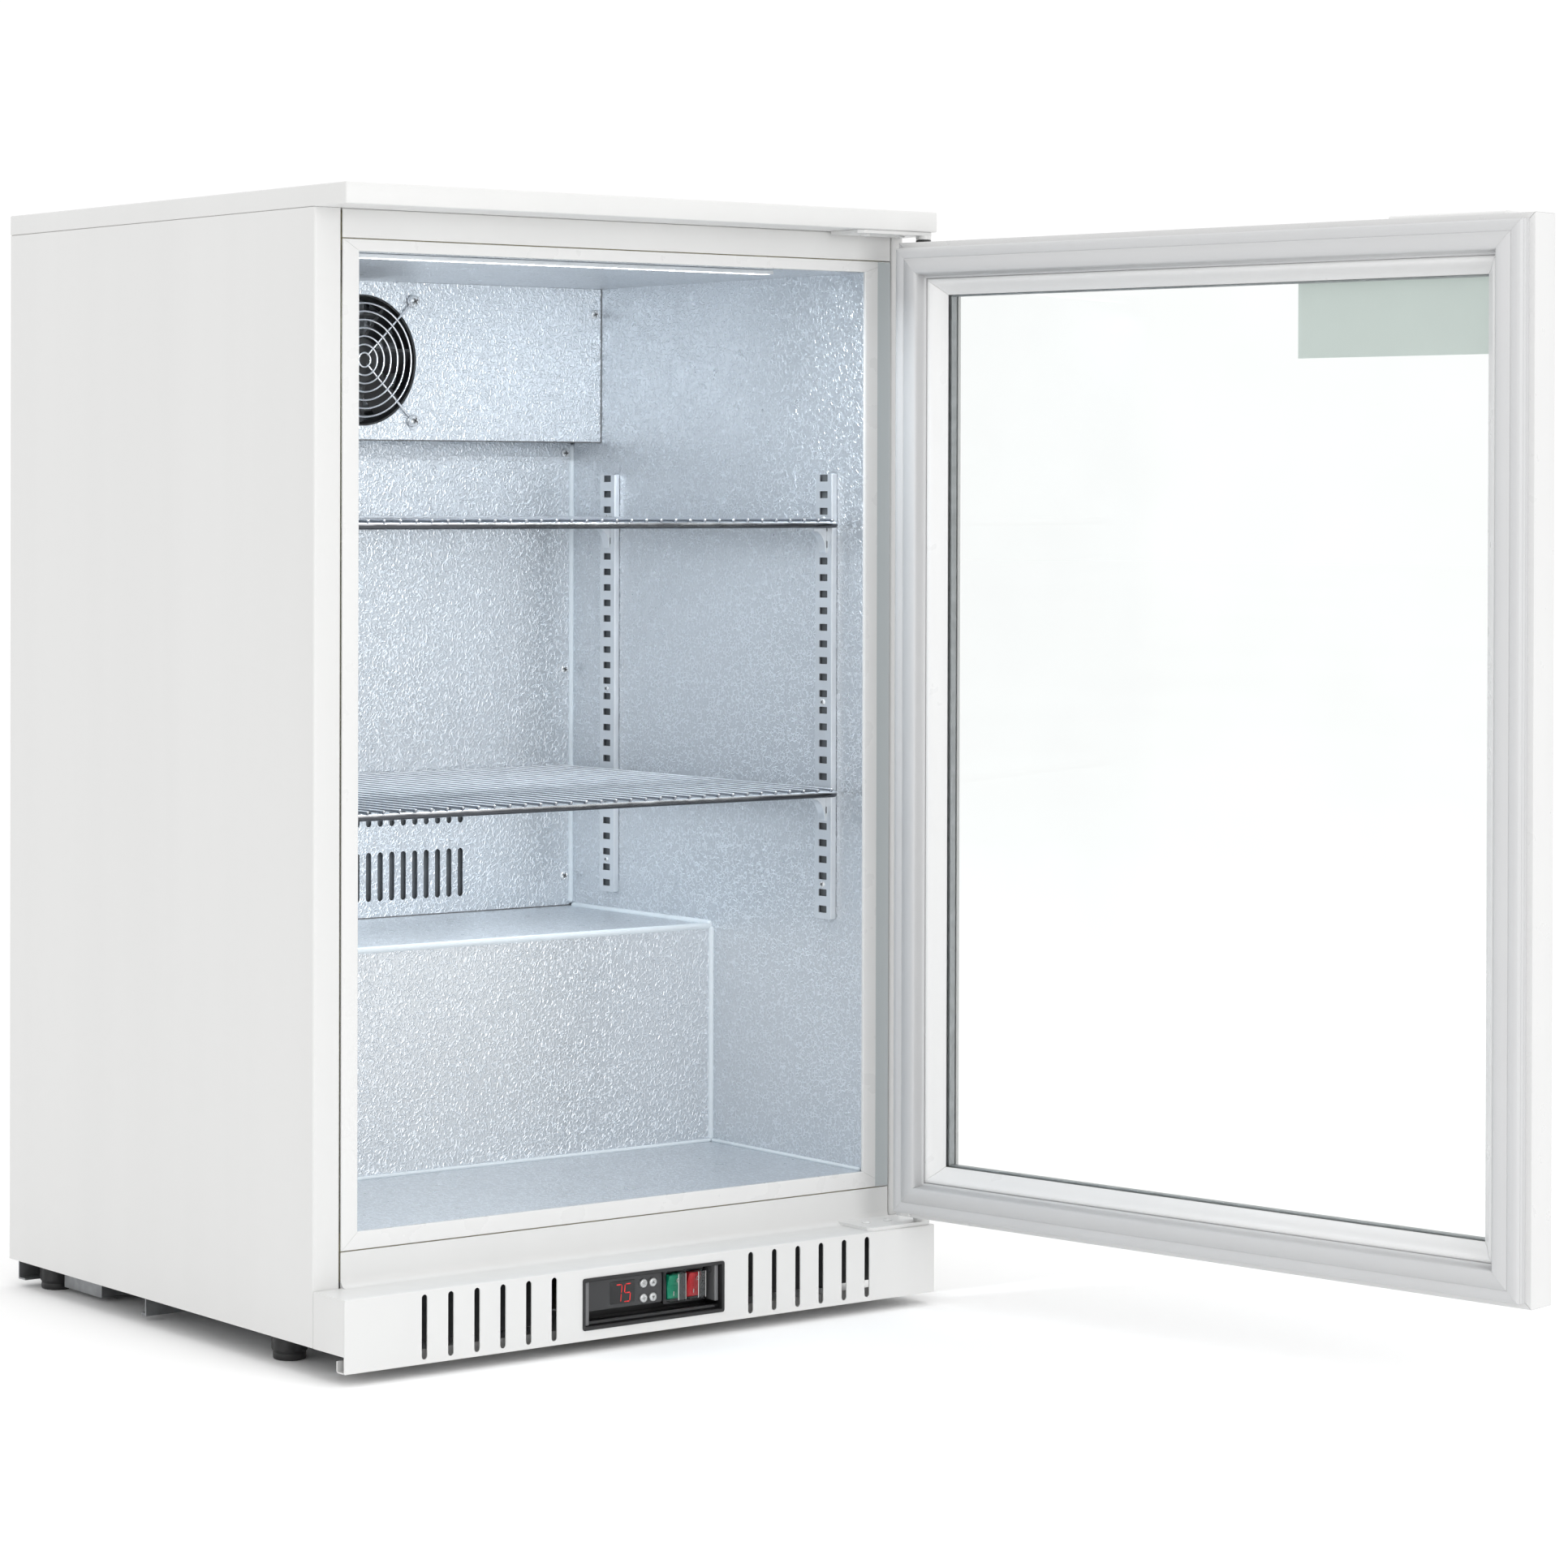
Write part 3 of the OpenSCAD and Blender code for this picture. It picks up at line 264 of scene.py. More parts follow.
# looks that are not slots of the record
glow("digit_red", (0.9, 0.02, 0.02), 0.42, 60.0)
glow("led_hot", (1.0, 1.0, 1.0), 5.0, 90.0)
surface("mark_white", (0.8, 0.8, 0.78), 0.4, vary=0.04)
# dark colour for printed marks on the buttons, and for painted shade in screw recesses and in gaps
surface("dark_print_and_shade", (0.12, 0.12, 0.12), 0.4, vary=0.1)
# painted shade behind the slots of the duct panel and the rails
surface("painted_slot_shade", (0.13, 0.14, 0.15), 0.6, vary=0.15, blotch=40)
# painted shade inside the kick grille
surface("painted_vent_shade", (0.03, 0.03, 0.032), 0.7, vary=0.2, blotch=50)
# rods of the shelves: their colour is a painted reflection, light above and dark below
rod_painted_reflection("rim_chrome_painted_reflection", (0.85, 0.87, 0.9), (0.09, 0.095, 0.105), 0.16)
rod_painted_reflection("wire_chrome_painted_reflection", (0.97, 0.98, 1.0), (0.3, 0.32, 0.35), 0.2)
surface("fascia_gloss", (0.036, 0.036, 0.038), 0.2, grain=500, depth=0.00001, vary=0.12)
surface("bead_white", (0.755, 0.755, 0.752), 0.32, grain=700, vary=0.006, blotch=5)
surface("screw_zinc", (0.80, 0.82, 0.84), 0.3, 0.55, grain=800, vary=0.05, blotch=40)
# painted shade that the open door casts on the strip by the hinge post
surface("painted_door_shade", (0.44, 0.475, 0.485), 0.36, grain=520, depth=0.00004, vary=0.012, blotch=10,
        stretch=(1.0, 1.0, 0.04))
surface("cap_dark_pane", (0.09, 0.093, 0.095), 0.18, vary=0.06, Alpha=0.5)
surface("tab_grey", (0.16, 0.16, 0.165), 0.3, vary=0.06)
surface("sealant", (0.76, 0.82, 0.86), 0.4, grain=300, depth=0.0001, vary=0.02)


# ---------------------------------------------------------------- mesh helpers
def make(name, part, mat, node=None, body="cabinet", smooth=30.0):
    """A piece from (verts, faces) in millimetres, in place of the CAD node if one is named.

    The door's pieces are built closed and swung open here.
    """
    verts, faces = part
    to_world = Matrix.Scale(0.001, 4) @ (SWING if body == "door" else Matrix.Identity(4))
    me = bpy.data.meshes.new(name)
    me.from_pydata([to_world @ Vector(v) for v in verts], [], faces)
    bm = bmesh.new()
    bm.from_mesh(me)
    bmesh.ops.recalc_face_normals(bm, faces=bm.faces)
    bm.to_mesh(me)
    bm.free()
    me.shade_smooth()
    me.set_sharp_from_angle(angle=math.radians(smooth))
    me.materials.append(MATERIAL[mat])
    o = bpy.data.objects.new(name, me)
    bpy.context.scene.collection.objects.link(o)
    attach(o, body)
    if node:
        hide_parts(node)


def join(parts):
    """Several (verts, faces) into one."""
    verts, faces = [], []
    for v, f in parts:
        n = len(verts)
        verts += v
        faces += [[i + n for i in q] for q in f]
    return verts, faces


def bar_faces(n):
    """Faces of a bar between two outlines of n points: its sides, then its two ends."""
    return ([[i, (i + 1) % n, n + (i + 1) % n, n + i] for i in range(n)]
            + [list(range(n))[::-1], list(range(n, 2 * n))])


def prism(poly, a, b, axis):
    """A polygon of (u, v) points pushed along an axis from a to b. u, v are the other two axes in order."""
    at = "XYZ".index(axis)
    verts = [(*p[:at], w, *p[at:]) for w in (a, b) for p in poly]
    return verts, bar_faces(len(poly))


def rounded(u0, u1, v0, v1, r, n=4):
    """Rectangle with round corners, anticlockwise."""
    pts = []
    corners = ((u1 - r, v1 - r, 0), (u0 + r, v1 - r, 90), (u0 + r, v0 + r, 180), (u1 - r, v0 + r, 270))
    for cu, cv, a0 in corners:
        for i in range(n + 1):
            a = math.radians(a0 + 90 * i / n)
            pts.append((cu + r * math.cos(a), cv + r * math.sin(a)))
    return pts


def slab(x0, x1, y0, y1, z0, z1, r=0.8, seg=3):
    """Box with rounded edges."""
    bm = bmesh.new()
    bmesh.ops.create_cube(bm, size=1.0)
    for v in bm.verts:
        v.co = Vector(((x0 + x1) / 2 + v.co.x * (x1 - x0), (y0 + y1) / 2 + v.co.y * (y1 - y0),
                       (z0 + z1) / 2 + v.co.z * (z1 - z0)))
    r = min(r, 0.45 * min(x1 - x0, y1 - y0, z1 - z0))
    if r > 0:
        bmesh.ops.bevel(bm, geom=bm.edges[:], offset=r, segments=seg, profile=0.5, affect="EDGES")
    bm.verts.index_update()
    out = [tuple(v.co) for v in bm.verts], [[v.index for v in f.verts] for f in bm.faces]
    bm.free()
    return out


def fold(path, t, r, n=5):
    """Outline of a bent sheet: a centre line with corners rounded to r, given the thickness t."""
    pts = [Vector(path[0])]
    for i in range(1, len(path) - 1):
        a, p, b = Vector(path[i - 1]), Vector(path[i]), Vector(path[i + 1])
        u, w = (a - p).normalized(), (b - p).normalized()
        ang = u.angle(w)
        d = min(r / math.tan(ang / 2), 0.45 * (a - p).length, 0.45 * (b - p).length)
        for j in range(n + 1):
            s = j / n
            pts.append((p + u * d) * (1 - s) ** 2 + p * 2 * s * (1 - s) + (p + w * d) * s * s)
    pts.append(Vector(path[-1]))
    left, right = [], []
    for i, p in enumerate(pts):
        d = (pts[min(i + 1, len(pts) - 1)] - pts[max(i - 1, 0)]).normalized()
        nrm = Vector((-d.y, d.x)) * t / 2
        left.append(tuple(p + nrm))
        right.append(tuple(p - nrm))
    return left + right[::-1]


def tube(pts, r, n=12, closed=False, caps=True):
    """Round bar along points, with domed ends where it is open."""
    pts = [Vector(p) for p in pts]
    if not closed and caps:
        a, b = (pts[0] - pts[1]).normalized(), (pts[-1] - pts[-2]).normalized()
        ring = [(0.0, 1.0), (0.5, 0.866), (0.866, 0.5), (0.98, 0.2)]
        path = [(pts[0] + a * r * (s - 1), c * r) for s, c in reversed(ring)]
        path += [(p, r) for p in pts[1:-1]]
        path += [(pts[-1] + b * r * (s - 1), c * r) for s, c in ring]
    else:
        path = [(p, r) for p in pts]
    m = len(path)
    ref, verts = None, []
    for i, (p, rr) in enumerate(path):
        q = path[(i + 1) % m][0] if closed else path[min(i + 1, m - 1)][0]
        o = path[i - 1][0] if closed or i else p
        d = (q - o).normalized()
        if ref is None:
            ref = d.orthogonal().normalized()
        ref = (ref - d * ref.dot(d)).normalized()
        s = d.cross(ref)
        verts += [tuple(p + (ref * math.cos(k) + s * math.sin(k)) * rr)
                  for k in (2 * math.pi * j / n for j in range(n))]
    faces = [[i * n + j, i * n + (j + 1) % n, ((i + 1) % m) * n + (j + 1) % n, ((i + 1) % m) * n + j]
             for i in range(m if closed else m - 1) for j in range(n)]
    if not closed:
        faces += [list(range(n))[::-1], list(range((m - 1) * n, m * n))]
    return verts, faces


def lathe(profile, n=32, flute=None):
    """Profile of (r, z) turned round Z. flute(i, j) may change the radius."""
    m, verts = len(profile), []
    for i, (r, z) in enumerate(profile):
        for j in range(n):
            a = 2 * math.pi * j / n
            rr = r + (flute(i, j) if flute else 0)
            verts.append((rr * math.cos(a), rr * math.sin(a), z))
    faces = [[i * n + j, i * n + (j + 1) % n, (i + 1) * n + (j + 1) % n, (i + 1) * n + j]
             for i in range(m - 1) for j in range(n)]
    return verts, faces + [list(range(n))[::-1], list(range((m - 1) * n, m * n))]


def moved(part, xf):
    verts, faces = part
    return [tuple(xf @ Vector(p)) for p in verts], faces


def place(x, y, z, axis="Z", spin=0.0):
    """Puts something built along +Z at a point, turned to look along the axis named."""
    turn = {"Z": Matrix.Identity(4), "-Z": Matrix.Rotation(math.pi, 4, "X"),
            "-Y": Matrix.Rotation(math.pi / 2, 4, "X"), "Y": Matrix.Rotation(-math.pi / 2, 4, "X"),
            "X": Matrix.Rotation(math.pi / 2, 4, "Y"), "-X": Matrix.Rotation(-math.pi / 2, 4, "Y")}[axis]
    return Matrix.Translation((x, y, z)) @ turn @ Matrix.Rotation(math.radians(spin), 4, "Z")


def screw(r, h, n=24):
    """Pan head with a cross recess, seat at z = 0."""
    dome = [(r * 0.96, 0), (r, h * 0.3), (r * 0.94, h * 0.62), (r * 0.78, h * 0.86), (r * 0.5, h * 0.98),
            (0.02, h)]
    verts, faces = lathe(dome, n)
    arm = 0.16 * r
    out = []
    for x, y, z in verts:
        if math.hypot(x, y) < 0.6 * r and min(abs(x), abs(y)) < arm and z > h * 0.9:
            z -= h * 0.5
        out.append((x, y, z))
    return out, faces


def cross(r, h):
    """Dark cross of painted shade for a recess, lying just over a head."""
    arm, w = 0.52 * r, 0.13 * r
    return join([slab(-arm, arm, -w, w, h - 0.1, h + 0.06, 0), slab(-w, w, -arm, arm, h - 0.1, h + 0.06, 0)])


def plate(outline, holes, t):
    """Flat sheet in the UV plane with holes, from w = -t/2 to t/2."""
    cu = bpy.data.curves.new("tmp", "CURVE")
    cu.dimensions = "2D"
    cu.fill_mode = "BOTH"
    cu.extrude = t / 2
    for pts in [outline] + holes:
        s = cu.splines.new("POLY")
        s.points.add(len(pts) - 1)
        for p, (u, v) in zip(s.points, pts):
            p.co = (u, v, 0, 1)
        s.use_cyclic_u = True
    o = bpy.data.objects.new("tmp", cu)
    bpy.context.scene.collection.objects.link(o)
    bpy.context.view_layer.update()
    me = bpy.data.meshes.new_from_object(o.evaluated_get(bpy.context.evaluated_depsgraph_get()))
    out = [tuple(v.co) for v in me.vertices], [list(p.vertices) for p in me.polygons]
    bpy.data.objects.remove(o)
    bpy.data.curves.remove(cu)
    bpy.data.meshes.remove(me)
    return out


def upright(y):
    """Stands a sheet up across the cabinet, centred on y: (u, v, w) goes to (x, y - w, z)."""
    return Matrix.Translation((0, y, 0)) @ Matrix(((1, 0, 0, 0), (0, 0, -1, 0), (0, 1, 0, 0), (0, 0, 0, 1)))


def slot_hole(u, v0, v1, w, n=6):
    """Slot with round ends, w wide."""
    return rounded(u - w / 2, u + w / 2, v0, v1, w / 2 - 0.01, n)


def circle(u, v, r, n=64):
    return [(u + r * math.cos(2 * math.pi * i / n), v + r * math.sin(2 * math.pi * i / n)) for i in range(n)]


def ring(profile, gap):
    """Four mitred bars round the door. profile is (in from the edge, out from the inner face)."""
    corners = [(-DOOR_X, DOOR_Z0, 1, 1), (DOOR_X, DOOR_Z0, -1, 1), (DOOR_X, DOOR_Z1, -1, -1),
               (-DOOR_X, DOOR_Z1, 1, -1)]
    parts = []
    for i in range(4):
        a, b = corners[i], corners[(i + 1) % 4]
        along = Vector((b[0] - a[0], b[1] - a[1])).normalized() * gap
        verts = []
        for (x, z, into_x, into_z), d in ((a, along), (b, -along)):
            verts += [(x + s * into_x + d.x, DOOR_Y - t, z + s * into_z + d.y) for s, t in profile]
        parts.append((verts, bar_faces(len(profile))))
    return join(parts)


# ---------------------------------------------------------------- cabinet shell
make("worktop_slab", slab(-HALF_W, HALF_W, LIP_Y, BACK_Y, TOP_Z0, TOP_Z1, 1.3), "white_paint", "worktop")
SKIN_X = HALF_W - 0.5
for sx, side, post in ((-1, "left", 24.5), (1, "right", 12.5)):
    wrap = fold([(-HALF_W + 15.5, BACK_Y - 0.5), (-SKIN_X, BACK_Y - 0.5), (-SKIN_X, FRONT_Y + 0.5),
                 (-HALF_W + post, FRONT_Y + 0.5), (-HALF_W + post, FRONT_Y + 12)], 1.0, 1.6)
    wrap = [(-sx * u, v) for u, v in wrap]
    make("side_wrap_" + side, prism(wrap, 23.2, TOP_Z0 - 0.2, "Z"), "white_paint", "side_panel_" + side)
    x0, x1 = sorted((sx * (HALF_W - 13), sx * (HALF_W - 0.2)))
    make("side_hem_" + side, slab(x0, x1, FRONT_Y + 0.3, BACK_Y - 0.3, 23.0, 24.0, 0.3), "white_paint")

# header and sill between the front posts, the sill with a cove at its foot
TRIM = (-273.6, 285.6)
header = fold([(FRONT_Y + 0.9, 880.2), (FRONT_Y + 0.9, 902.4), (FRONT_Y + 12, 902.4)], 1.0, 1.0)
make("header_panel", prism(header, *TRIM, "X"), "white_paint", "front_trim_panels")
COVE, SILL_Z1 = 7.0, 94.3
sill = [(FRONT_Y + 1.4, SILL_Z1), (FRONT_Y + 0.4, SILL_Z1)]
for degrees in range(0, 91, 9):
    a = math.radians(degrees)
    sill.append((FRONT_Y + 0.4 - COVE * (1 - math.cos(a)), GRILLE_Z1 + 0.06 + COVE * (1 - math.sin(a))))
sill += [(FRONT_Y + 0.4 - COVE, GRILLE_Z1 + 0.02), (FRONT_Y + 1.4, GRILLE_Z1 + 0.02)]
make("sill_panel", prism(sill, *TRIM, "X"), "white_paint")

# breaker strips: soft edges, each point a share of the way from the outer rectangle to the mouth
outer = [(TRIM[0], 95.0), (TRIM[1], 95.0), (TRIM[1], 879.5), (TRIM[0], 879.5)]
inner = [(-MOUTH_X, 109.0), (MOUTH_X, 109.0), (MOUTH_X, CAV_Z1), (-MOUTH_X, CAV_Z1)]
lip = [(0.01, 1.5), (0.01, 0.5), (0.05, 0.0), (0.12, -0.05), (0.9, -0.05), (0.96, 0.1), (1.0, 0.7),
       (1.0, 2.6), (0.93, 2.6), (0.93, 1.5)]
parts = []
for i in range(4):
    verts = []
    for o, n, far in ((outer[i], inner[i], outer[i - 3]), (outer[i - 3], inner[i - 3], outer[i])):
        d = Vector((far[0] - o[0], far[1] - o[1])).normalized() * 0.1
        verts += [(o[0] + (n[0] - o[0]) * k + d.x, FRONT_Y + t, o[1] + (n[1] - o[1]) * k + d.y)
                  for k, t in lip]
    parts.append((verts, bar_faces(len(lip))))
make("breaker_strips", join(parts), "white_plastic", "breaker_frame")

# grey skin on the strip between the mouth and the hinge post: painted shade of the open door, which shades
# this strip
shaded = slab(271.6, 285.3, FRONT_Y - 0.12, FRONT_Y - 0.04, 95.6, 878.9, 0)
make("hinge_side_painted_shade", shaded, "painted_door_shade")

# kick grille: twelve slots and the window for the controls, folded back at its top, foot and ends
BEND_Y = LIP_Y + 0.5
slots = [slot_hole(s * (100 + 25 * i), GRILLE_Z0 + 3.4, GRILLE_Z1 - 3.4, 5.4)
         for s in SIDES for i in range(6)]
window = rounded(-70.4, 70.4, 19.4, 57.7, 1.0)
front = plate(rounded(-GRILLE_X, GRILLE_X, GRILLE_Z0, GRILLE_Z1 - 2.2, 0.3, 2), slots + [window], 1.0)
top = [(BEND_Y, GRILLE_Z1 - 2.2), (BEND_Y, GRILLE_Z1 - 0.5), (FRONT_Y - 0.3, GRILLE_Z1 - 0.5)]
toe = [(BEND_Y, GRILLE_Z0 + 0.6), (BEND_Y + 10, GRILLE_Z0 + 0.6), (BEND_Y + 10, GRILLE_Z0 + 9)]
parts = [moved(front, upright(BEND_Y)),
         prism(fold(top, 1.0, 1.4), -GRILLE_X, GRILLE_X, "X"),
         prism(fold(toe, 1.0, 1.5), -GRILLE_X, GRILLE_X, "X")]
for s in SIDES:
    end = fold([(s * (GRILLE_X - 1.0), LIP_Y + 1.0), (s * (GRILLE_X - 0.5), FRONT_Y - 0.4)], 1.0, 0.5)
    parts.append(prism(end, 22.8, GRILLE_Z1 - 1.0, "Z"))
make("kick_grille", join(parts), "white_paint", "grille_panel")
# dark boards behind the slots: painted shade inside the grille
vents = [slab(*sorted((s * 76, s * 262)), FRONT_Y - 5, FRONT_Y - 4, 18, GRILLE_Z1 - 1.2, 0.3)
         for s in SIDES]
make("grille_shadow_boards", join(vents), "painted_vent_shade")


def hinge_plate(width, reach, z0, z1, heads, rods):
    """Bracket with two cut corners. heads is (r, first x, second x, y, z, axis), rods is (r, z, length)."""
    x0, x1 = HALF_W - width, HALF_W - 1
    y0, y1 = FRONT_Y - reach[0], FRONT_Y - reach[1]
    cut = 4
    outline = [(x0, y0), (x0, y1 + cut), (x0 + cut, y1), (x1 - cut, y1), (x1, y1 + cut), (x1, y0)]
    head_r, *head_x, head_y, head_z, axis = heads
    parts = [prism(outline, z0, z1, "Z")]
    parts += [moved(screw(head_r, 1.6), place(x0 + dx, FRONT_Y - head_y, head_z, axis)) for dx in head_x]
    parts += [moved(lathe([(r, 0), (r, length)], 24), place(PIN_X, PIN_Y, z)) for r, z, length in rods]
    return join(parts)


upper = hinge_plate(83, (3, 41), 900.0, 902.8, (4.2, 22, 60, 22, 900.0, "-Z"),
                    ((3.5, 876, 24.5), (6.4, 896.9, 3.2)))
lower = hinge_plate(70, (1, 42), 66.9, 69.8, (3.8, 14, 38, 20, 69.8, "Z"),
                    ((3.5, 69.6, 24.1), (6.4, 69.6, 3.0)))
make("top_hinge_plate", upper, "white_paint", "top_hinge_bracket")
make("bottom_hinge_plate", lower, "white_paint", "bottom_hinge_bracket")

# ---------------------------------------------------------------- cavity
# beads of sealant: thin ones round the floor, wide ones up the step, over it and up the duct panel
floor_z = CAV_Z0 + 1.2
thin = [((s * (CAV_X - 1.4), CAV_Y0 + 2, floor_z), (s * (CAV_X - 1.4), STEP_Y - 2, floor_z)) for s in SIDES]
thin.append(((-CAV_X + 2, STEP_Y - 1.2, floor_z), (CAV_X - 2, STEP_Y - 1.2, floor_z)))
wide = []
for inset, y0, z0, y1, z1 in ((1.0, STEP_Y + 0.2, CAV_Z0 + 1, STEP_Y + 0.2, STEP_Z - 2),
                              (1.0, STEP_Y, STEP_Z + 0.2, CAV_Y1 - 16, STEP_Z + 0.2),
                              (0.6, DUCT_Y + 0.4, STEP_Z + 2, DUCT_Y + 0.4, EVAP_Z0 - 2)):
    wide += [((s * (CAV_X - inset), y0, z0), (s * (CAV_X - inset), y1, z1)) for s in SIDES]
make("sealant_beads", join([tube(p, 1.7, 10) for p in thin] + [tube(p, 3.0, 14) for p in wide]), "sealant",
     smooth=60)
nose = tube([(-CAV_X + 1, STEP_Y + 1.7, STEP_Z - 1.7), (CAV_X - 1, STEP_Y + 1.7, STEP_Z - 1.7)], 3.0, 20)
make("step_nose", nose, "sealant", smooth=60)

# evaporator cover with folded edges, and dark strips of painted shade in the gaps along its edges and at the
# duct panel's foot
COVER_X = CAV_X - 0.6
COVER_Z1 = CAV_Z1 - 1
cover = plate(rounded(-COVER_X, COVER_X, EVAP_Z0, CAV_Z1 - 0.2, 0.5, 2), [circle(0, FAN_Z, 58.0)], 1.0)
back = (EVAP_Y + 0.2, DUCT_Y - 0.2)
parts = [moved(cover, upright(EVAP_Y + 0.5)),
         slab(-COVER_X, COVER_X, *back, EVAP_Z0, EVAP_Z0 + 1, 0.2),
         slab(-COVER_X, -COVER_X + 1, *back, EVAP_Z0, COVER_Z1, 0.2),
         slab(COVER_X - 1, COVER_X, *back, EVAP_Z0, COVER_Z1, 0.2)]
make("evaporator_shroud", join(parts), "stucco_aluminium", "evaporator_cover")
edge = []
for s in SIDES:
    x = s * (COVER_X + 0.25)
    edge.append(slab(x - 0.35, x + 0.35, EVAP_Y - 0.5, EVAP_Y + 2, EVAP_Z0, CAV_Z1 - 0.5, 0.1))
edge.append(slab(-COVER_X, COVER_X, EVAP_Y - 0.4, EVAP_Y + 1.5, EVAP_Z0 - 1.0, EVAP_Z0 - 0.05, 0.1))
edge.append(slab(-DUCT_X, DUCT_X, DUCT_Y - 0.8, DUCT_Y + 1, STEP_Z - 0.1, STEP_Z + 0.9, 0.1))
make("cover_gap_shade", join(edge), "dark_print_and_shade")

# duct panel: two rows of slots, a turned-out top edge and two folded sides, with a dark board of painted
# shade behind the slots
DUCT_Z0, DUCT_Z1, SLOT_PITCH = STEP_Z + 0.3, EVAP_Z0 - 0.3, 12.6
slots = [slot_hole((i - 11) * SLOT_PITCH, z - 22, z + 22, 5.8) for z in (338, 405) for i in range(23)]
sheet = plate(rounded(-DUCT_X, DUCT_X, DUCT_Z0, DUCT_Z1, 0.4, 2), slots, 1.0)
parts = [moved(sheet, upright(DUCT_Y + 0.5)),
         slab(-DUCT_X, DUCT_X, DUCT_Y - 0.8, DUCT_Y + 0.1, DUCT_Z1 - 13, DUCT_Z1, 0.3),
         slab(-DUCT_X, 1 - DUCT_X, DUCT_Y + 0.6, CAV_Y1 - 0.1, DUCT_Z0, DUCT_Z1, 0.1),
         slab(DUCT_X - 1, DUCT_X, DUCT_Y + 0.6, CAV_Y1 - 0.1, DUCT_Z0, DUCT_Z1, 0.1)]
make("duct_sheet", join(parts), "stucco_aluminium", "duct_panel")
make("duct_shadow_board", slab(-260, 260, DUCT_Y + 5, DUCT_Y + 6, 303, 445, 0.1), "painted_slot_shade")

# fan guard: seven rings, four legs with eyes round the screws
FAN_HOLE = 53.0
parts = [tube([(u, v, 0) for u, v in circle(0, 0, 7.3 * i - 1, 72)], 0.95, 10, True) for i in range(1, 8)]
reach = FAN_HOLE * math.sqrt(2)
for degrees in (45, 135, 225, 315):
    c, s = math.cos(math.radians(degrees)), math.sin(math.radians(degrees))
    leg = [(5.2 * c, 5.2 * s, 1.5), (40 * c, 40 * s, 1.6), ((reach - 5) * c, (reach - 5) * s, 1.5)]
    eye = [(u, v, 1.5) for u, v in circle(reach * c, reach * s, 4.6, 28)]
    parts += [tube(leg, 1.1, 10), tube(eye, 1.1, 10, True)]
make("fan_ring_guard", moved(join(parts), place(0, EVAP_Y - 3.4, FAN_Z, "Y")), "chrome", "fan_guard",
     smooth=60)

# screws of the cover, fan, duct panel, rear panel and rails, each with a dark cross of painted shade over its
# recess
heads, recess_shades = [], []


def put_screw(x, y, z, axis, r, h, spin=20.0):
    heads.append(moved(screw(r, h), place(x, y, z, axis, spin)))
    recess_shades.append(moved(cross(r, h), place(x, y, z, axis, spin)))


for sx in SIDES:
    put_screw(sx * 257, EVAP_Y, 846.5, "-Y", 4.2, 2.4)
    for sz in SIDES:
        put_screw(sx * FAN_HOLE, EVAP_Y - 3.1, FAN_Z + sz * FAN_HOLE, "-Y", 5.4, 3.4, 30 * sx * sz)
    for z, lift in ((329, 0), (520, 0), (720, 0.8)):
        put_screw(sx * 256, DUCT_Y - lift, z, "-Y", 4.2, 2.4, z)
for sx in SIDES:
    for z in (60, 240, 420, 600, 780, 880):
        put_screw(sx * 276, BACK_Y - 0.4, z, "Y", 3.4, 1.2, z)
for sx in SIDES:
    for y in RAIL_Y:
        for i in (2, 13, 24):
            z = RAIL_Z0 + 5 + i * RAIL_PITCH - 4.1
            put_screw(sx * RAIL_X, y, z, "-X" if sx > 0 else "X", 2.8, 1.6, 35 + i)
make("panel_screw_heads", join(heads), "screw_zinc", "panel_screws")
make("screw_recess_shade", join(recess_shades), "dark_print_and_shade")

# light strip close under the ceiling, set to the left: channel, diffuser and its row of chips
LED_X0, LED_X1, LED_Y = -CAV_X + 19, CAV_X - 93, CAV_Y0 + 16
led = fold([(LED_Y - 5.5, 866.3), (LED_Y - 5.5, 869.4), (LED_Y + 5.5, 869.4), (LED_Y + 5.5, 866.3)], 0.8, 0.6)
make("led_channel", prism(led, LED_X0, LED_X1, "X"), "rail_steel", "led_profile")
diffuser = rounded(LED_Y - 4.6, LED_Y + 4.6, 866, 868.5, 1.0)
make("led_diffuser", prism(diffuser, LED_X0 + 2, LED_X1 - 2, "X"), "led_lens", "led_lens")
CHIPS = 48
step = (LED_X1 - LED_X0 - 12) / CHIPS
chips = [slab(LED_X0 + 6 + step * i, LED_X0 + 10 + step * i, LED_Y - 4.2, LED_Y - 1.4, 865.72, 866.1, 0.12)
         for i in range(CHIPS)]
make("led_chip_domes", join(chips), "led_hot")

# shelf rails: channel with a row of square slots, with a dark board of painted shade inside
RAIL_SLOTS = int((RAIL_Z1 - RAIL_Z0 - 8) / RAIL_PITCH) + 1
parts, dark = [], []
for sx in SIDES:
    for y in RAIL_Y:
        holes = [rounded(-5.2, 5.2, RAIL_Z0 + 5 + RAIL_PITCH * i, RAIL_Z0 + 11 + RAIL_PITCH * i, 0.5, 2)
                 for i in range(RAIL_SLOTS)]
        face = plate(rounded(-10, 10, RAIL_Z0, RAIL_Z1, 0.2, 1), holes, 1.0)
        side = Matrix(((0, 0, -sx, sx * (RAIL_X + 0.5)), (1, 0, 0, y), (0, 1, 0, 0), (0, 0, 0, 1)))
        parts.append(moved(face, side))
        flange = sorted((sx * (RAIL_X + 0.1), sx * (RAIL_X + 5.8)))
        for e in SIDES:
            parts.append(slab(*flange, y + e * 10.3 - 0.6, y + e * 10.3 + 0.6, RAIL_Z0, RAIL_Z1, 0.5))
        board = sorted((sx * (RAIL_X + 3.2), sx * (RAIL_X + 4.2)))
        dark.append(slab(*board, y - 9, y + 9, RAIL_Z0 + 0.5, RAIL_Z1 - 0.5, 0))
make("slotted_rails", join(parts), "rail_steel", "shelf_rails")
make("rail_shadow_boards", join(dark), "painted_slot_shade")

